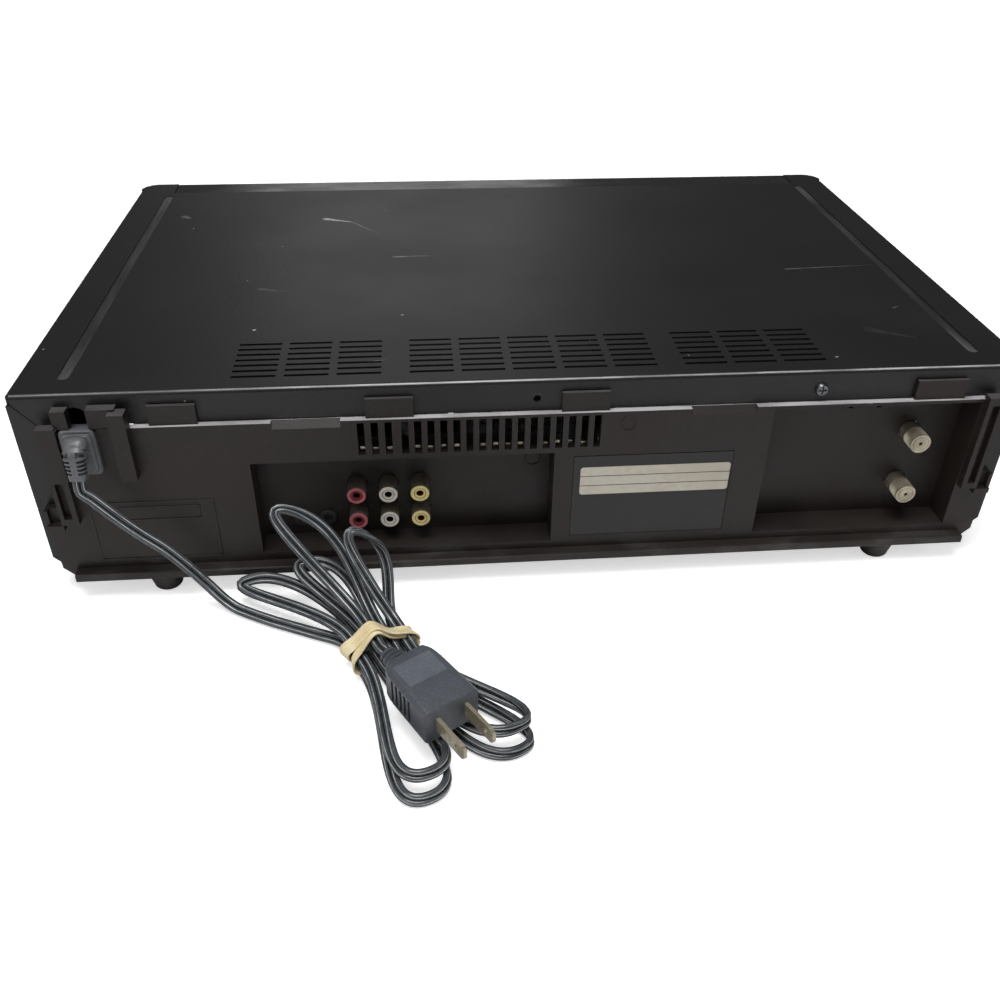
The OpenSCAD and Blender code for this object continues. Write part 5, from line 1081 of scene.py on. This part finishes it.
def label_row(row, rows=3):
    """One light row of the bare label; only the block's own four corners are round."""
    left, right, low, tall, pitch = -87.2, -19.9, 43.6, 4.5, 4.9
    z = low + pitch * row
    middle = ((left + right) / 2, z + tall / 2)
    outline = []
    corners = ((right, z, -90), (right, z + tall, 0), (left, z + tall, 90), (left, z, 180))
    for corner, (cx, cz, start) in enumerate(corners):
        r = 1.4 if (row == 0 and corner in (0, 3)) or (row == rows - 1 and corner in (1, 2)) else 0.2
        x, y = cx - math.copysign(r, cx - middle[0]), cz - math.copysign(r, cz - middle[1])
        turn = [math.radians(start + 15 * i) for i in range(7)]
        outline += [(x + r * math.cos(a), y + r * math.sin(a)) for a in turn]
    return prism("Row", outline, PANEL_Y - 0.4, PANEL_Y + 0.22)


# Bars of the embossed frames: from x and to x, from z and to z, in millimetres
FRAME_BARS = ((140, 192, 48.6, 49.2), (140, 192, 18.6, 19.2), (139.6, 140.2, 18.6, 49.2), (191.8, 192.4, 18.6, 49.2),
              (146, 180, 46.2, 46.6), (146, 180, 39.6, 40.0), (145.8, 146.2, 39.6, 46.6), (179.8, 180.2, 39.6, 46.6))


class MarksOperator(bpy.types.Operator):
    """Adds the rear panel's bare label, its embossed frame, its moulded rings and the lugs behind its grille"""
    bl_idname = "recorder.marks"
    bl_label = "Rear panel marks"

    def execute(self, context):
        piece("Label_rows", joined("Label rows", [label_row(k) for k in range(3)]), "white_film", smooth=0)
        bars = [block("Bar", (x0, PANEL_Y - 0.2, z0), (x1, PANEL_Y + 0.35, z1), 0.12)
                for x0, x1, z0, z1 in FRAME_BARS]
        piece("Embossed_frame", joined("Embossed frame", bars), "burnished_abs", smooth=0)
        # Bright solder lugs just behind the grille, each a little off its place; every fifth is missing
        lug = block("Lug", (-1.1, -0.5, -0.6), (1.1, 0.5, 0.6), 0.15)
        spots = [(x + 0.3 * math.sin(7 * x), 136.6 + 0.5 * math.sin(3 * x), 69.6 + 0.5 * math.sin(5 * x))
                 for k, x in enumerate(LUG_X) if k % 5 != 3]
        repeated("Solder_lugs", "nickel_worn", spots, lug, (0, 0, 1))
        ring = turned("Boss", [(-0.1, 2.9), (0.3, 2.95), (0.42, 3.1), (0.42, 3.5), (0.3, 3.65), (-0.1, 3.7)], 36)
        repeated("Moulded_rings", "black_plastic", [(-39.4, PANEL_Y, 79.3), (-0.4, RECESS_Y, 54.7)], ring)
        return {"FINISHED"}


class FastenerOperator(bpy.types.Operator):
    """Finishes the screws, the feet and the bottom plate"""
    bl_idname = "recorder.fasteners"
    bl_label = "Screws and feet"

    def execute(self, context):
        softened("Cover_screws", "case_screws", "screw_black", 0.1)
        softened("Feet", "feet", "black_plastic", 0.4)
        softened("Bottom_plate", "bottom_plate", "zinc_steel", 0.15)
        return {"FINISHED"}


# Signs on the keys, as outlines in millimetres round the middle of each key, seen from the front
SIGNS = {
    "play": [[(-1.6, -1.7), (1.8, 0), (-1.6, 1.7)]],
    "stop": [[(-1.5, -1.5), (1.5, -1.5), (1.5, 1.5), (-1.5, 1.5)]],
    "pause": [[(x, -1.6), (x + 1, -1.6), (x + 1, 1.6), (x, 1.6)] for x in (-1.5, 0.5)],
    "rewind": [[(x, -1.5), (x, 1.5), (x - 2.6, 0)] for x in (0, 2.6)],
    "fast_forward": [[(x, -1.5), (x + 2.6, 0), (x, 1.5)] for x in (-2.6, 0)],
    "record": [[(1.5 * math.cos(TAU * k / 24), 1.5 * math.sin(TAU * k / 24)) for k in range(24)]],
    "eject": [[(-2, -0.4), (2, -0.4), (0, 1.8)], [(-2, -1.8), (2, -1.8), (2, -1.0), (-2, -1.0)]],
    "power": [[(-2.2, -0.3), (2.2, -0.3), (2.2, 0.3), (-2.2, 0.3)]],
}


class FrontOperator(bpy.types.Operator):
    """Finishes the front: panel, door, window, and keys with their signs"""
    bl_idname = "recorder.front"
    bl_label = "Front"

    def execute(self, context):
        settings = context.scene.recorder_case
        softened("Front", "front_panel", "front_plastic", settings.moulded_edge)
        softened("Door", "cassette_door", "front_plastic", settings.moulded_edge)
        softened("Window", "display_window", "smoked_window", 0.3)
        for key, outlines in SIGNS.items():
            softened(key.capitalize() + "_key", key + "_button", "key_plastic", settings.key_edge)
            lo, hi = (corner / MM for corner in map(Vector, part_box(key + "_button")))
            x, z = (lo[0] + hi[0]) / 2, (lo[2] + hi[2]) / 2
            parts = [prism("Sign", [(x + u, z + v) for u, v in outline], lo[1] + 0.34, lo[1] + 0.7)
                     for outline in outlines]
            piece(key.capitalize() + "_sign", joined(key + " sign", parts), "print", key, smooth=0)
        return {"FINISHED"}


class DeckOperator(bpy.types.Operator):
    """Gives the tape deck, the boards and every other inner part its finish"""
    bl_idname = "recorder.deck"
    bl_label = "Deck and boards"

    def execute(self, context):
        slots = {part["node"]: part["material_slot"] for part in frame["record"]["subparts"]}
        for name, node in frame["nodes"].items():
            node.data.materials.clear()
            node.data.materials.append(FINISH[SHOWN_AS.get(name, slots[name])])
        return {"FINISHED"}


OPERATORS = (StageOperator, DeckOperator, ReliefOperator, BandOperator, PlugOperator, CordOperator, CaseOperator,
             SocketOperator, MarksOperator, FastenerOperator, FrontOperator)
GROUPS = {"recorder_stage": RecorderStage, "recorder_case": RecorderCase, "recorder_cord": RecorderCord}


class RecorderPanel(bpy.types.Panel):
    bl_idname = "VIEW3D_PT_recorder"
    bl_label = "Video Cassette Recorder"
    bl_space_type = "VIEW_3D"
    bl_region_type = "UI"
    bl_category = "Recorder"

    def draw(self, context):
        for operator in OPERATORS:
            self.layout.operator(operator.bl_idname)
        for name in GROUPS:
            group = getattr(context.scene, name)
            box = self.layout.box()
            for key in group.bl_rna.properties.keys():
                if key not in ("rna_type", "name"):
                    box.prop(group, key)


CLASSES = (*GROUPS.values(), *OPERATORS, RecorderPanel)


def register():
    for item in CLASSES:
        bpy.utils.register_class(item)
    for name, group in GROUPS.items():
        setattr(bpy.types.Scene, name, bpy.props.PointerProperty(type=group))


def unregister():
    for name in GROUPS:
        delattr(bpy.types.Scene, name)
    for item in reversed(CLASSES):
        bpy.utils.unregister_class(item)


def main():
    register()
    FINISH.update(make_materials())
    for operator in OPERATORS:
        group, name = operator.bl_idname.split(".")
        getattr(getattr(bpy.ops, group), name)()


if __name__ == "__main__":
    main()
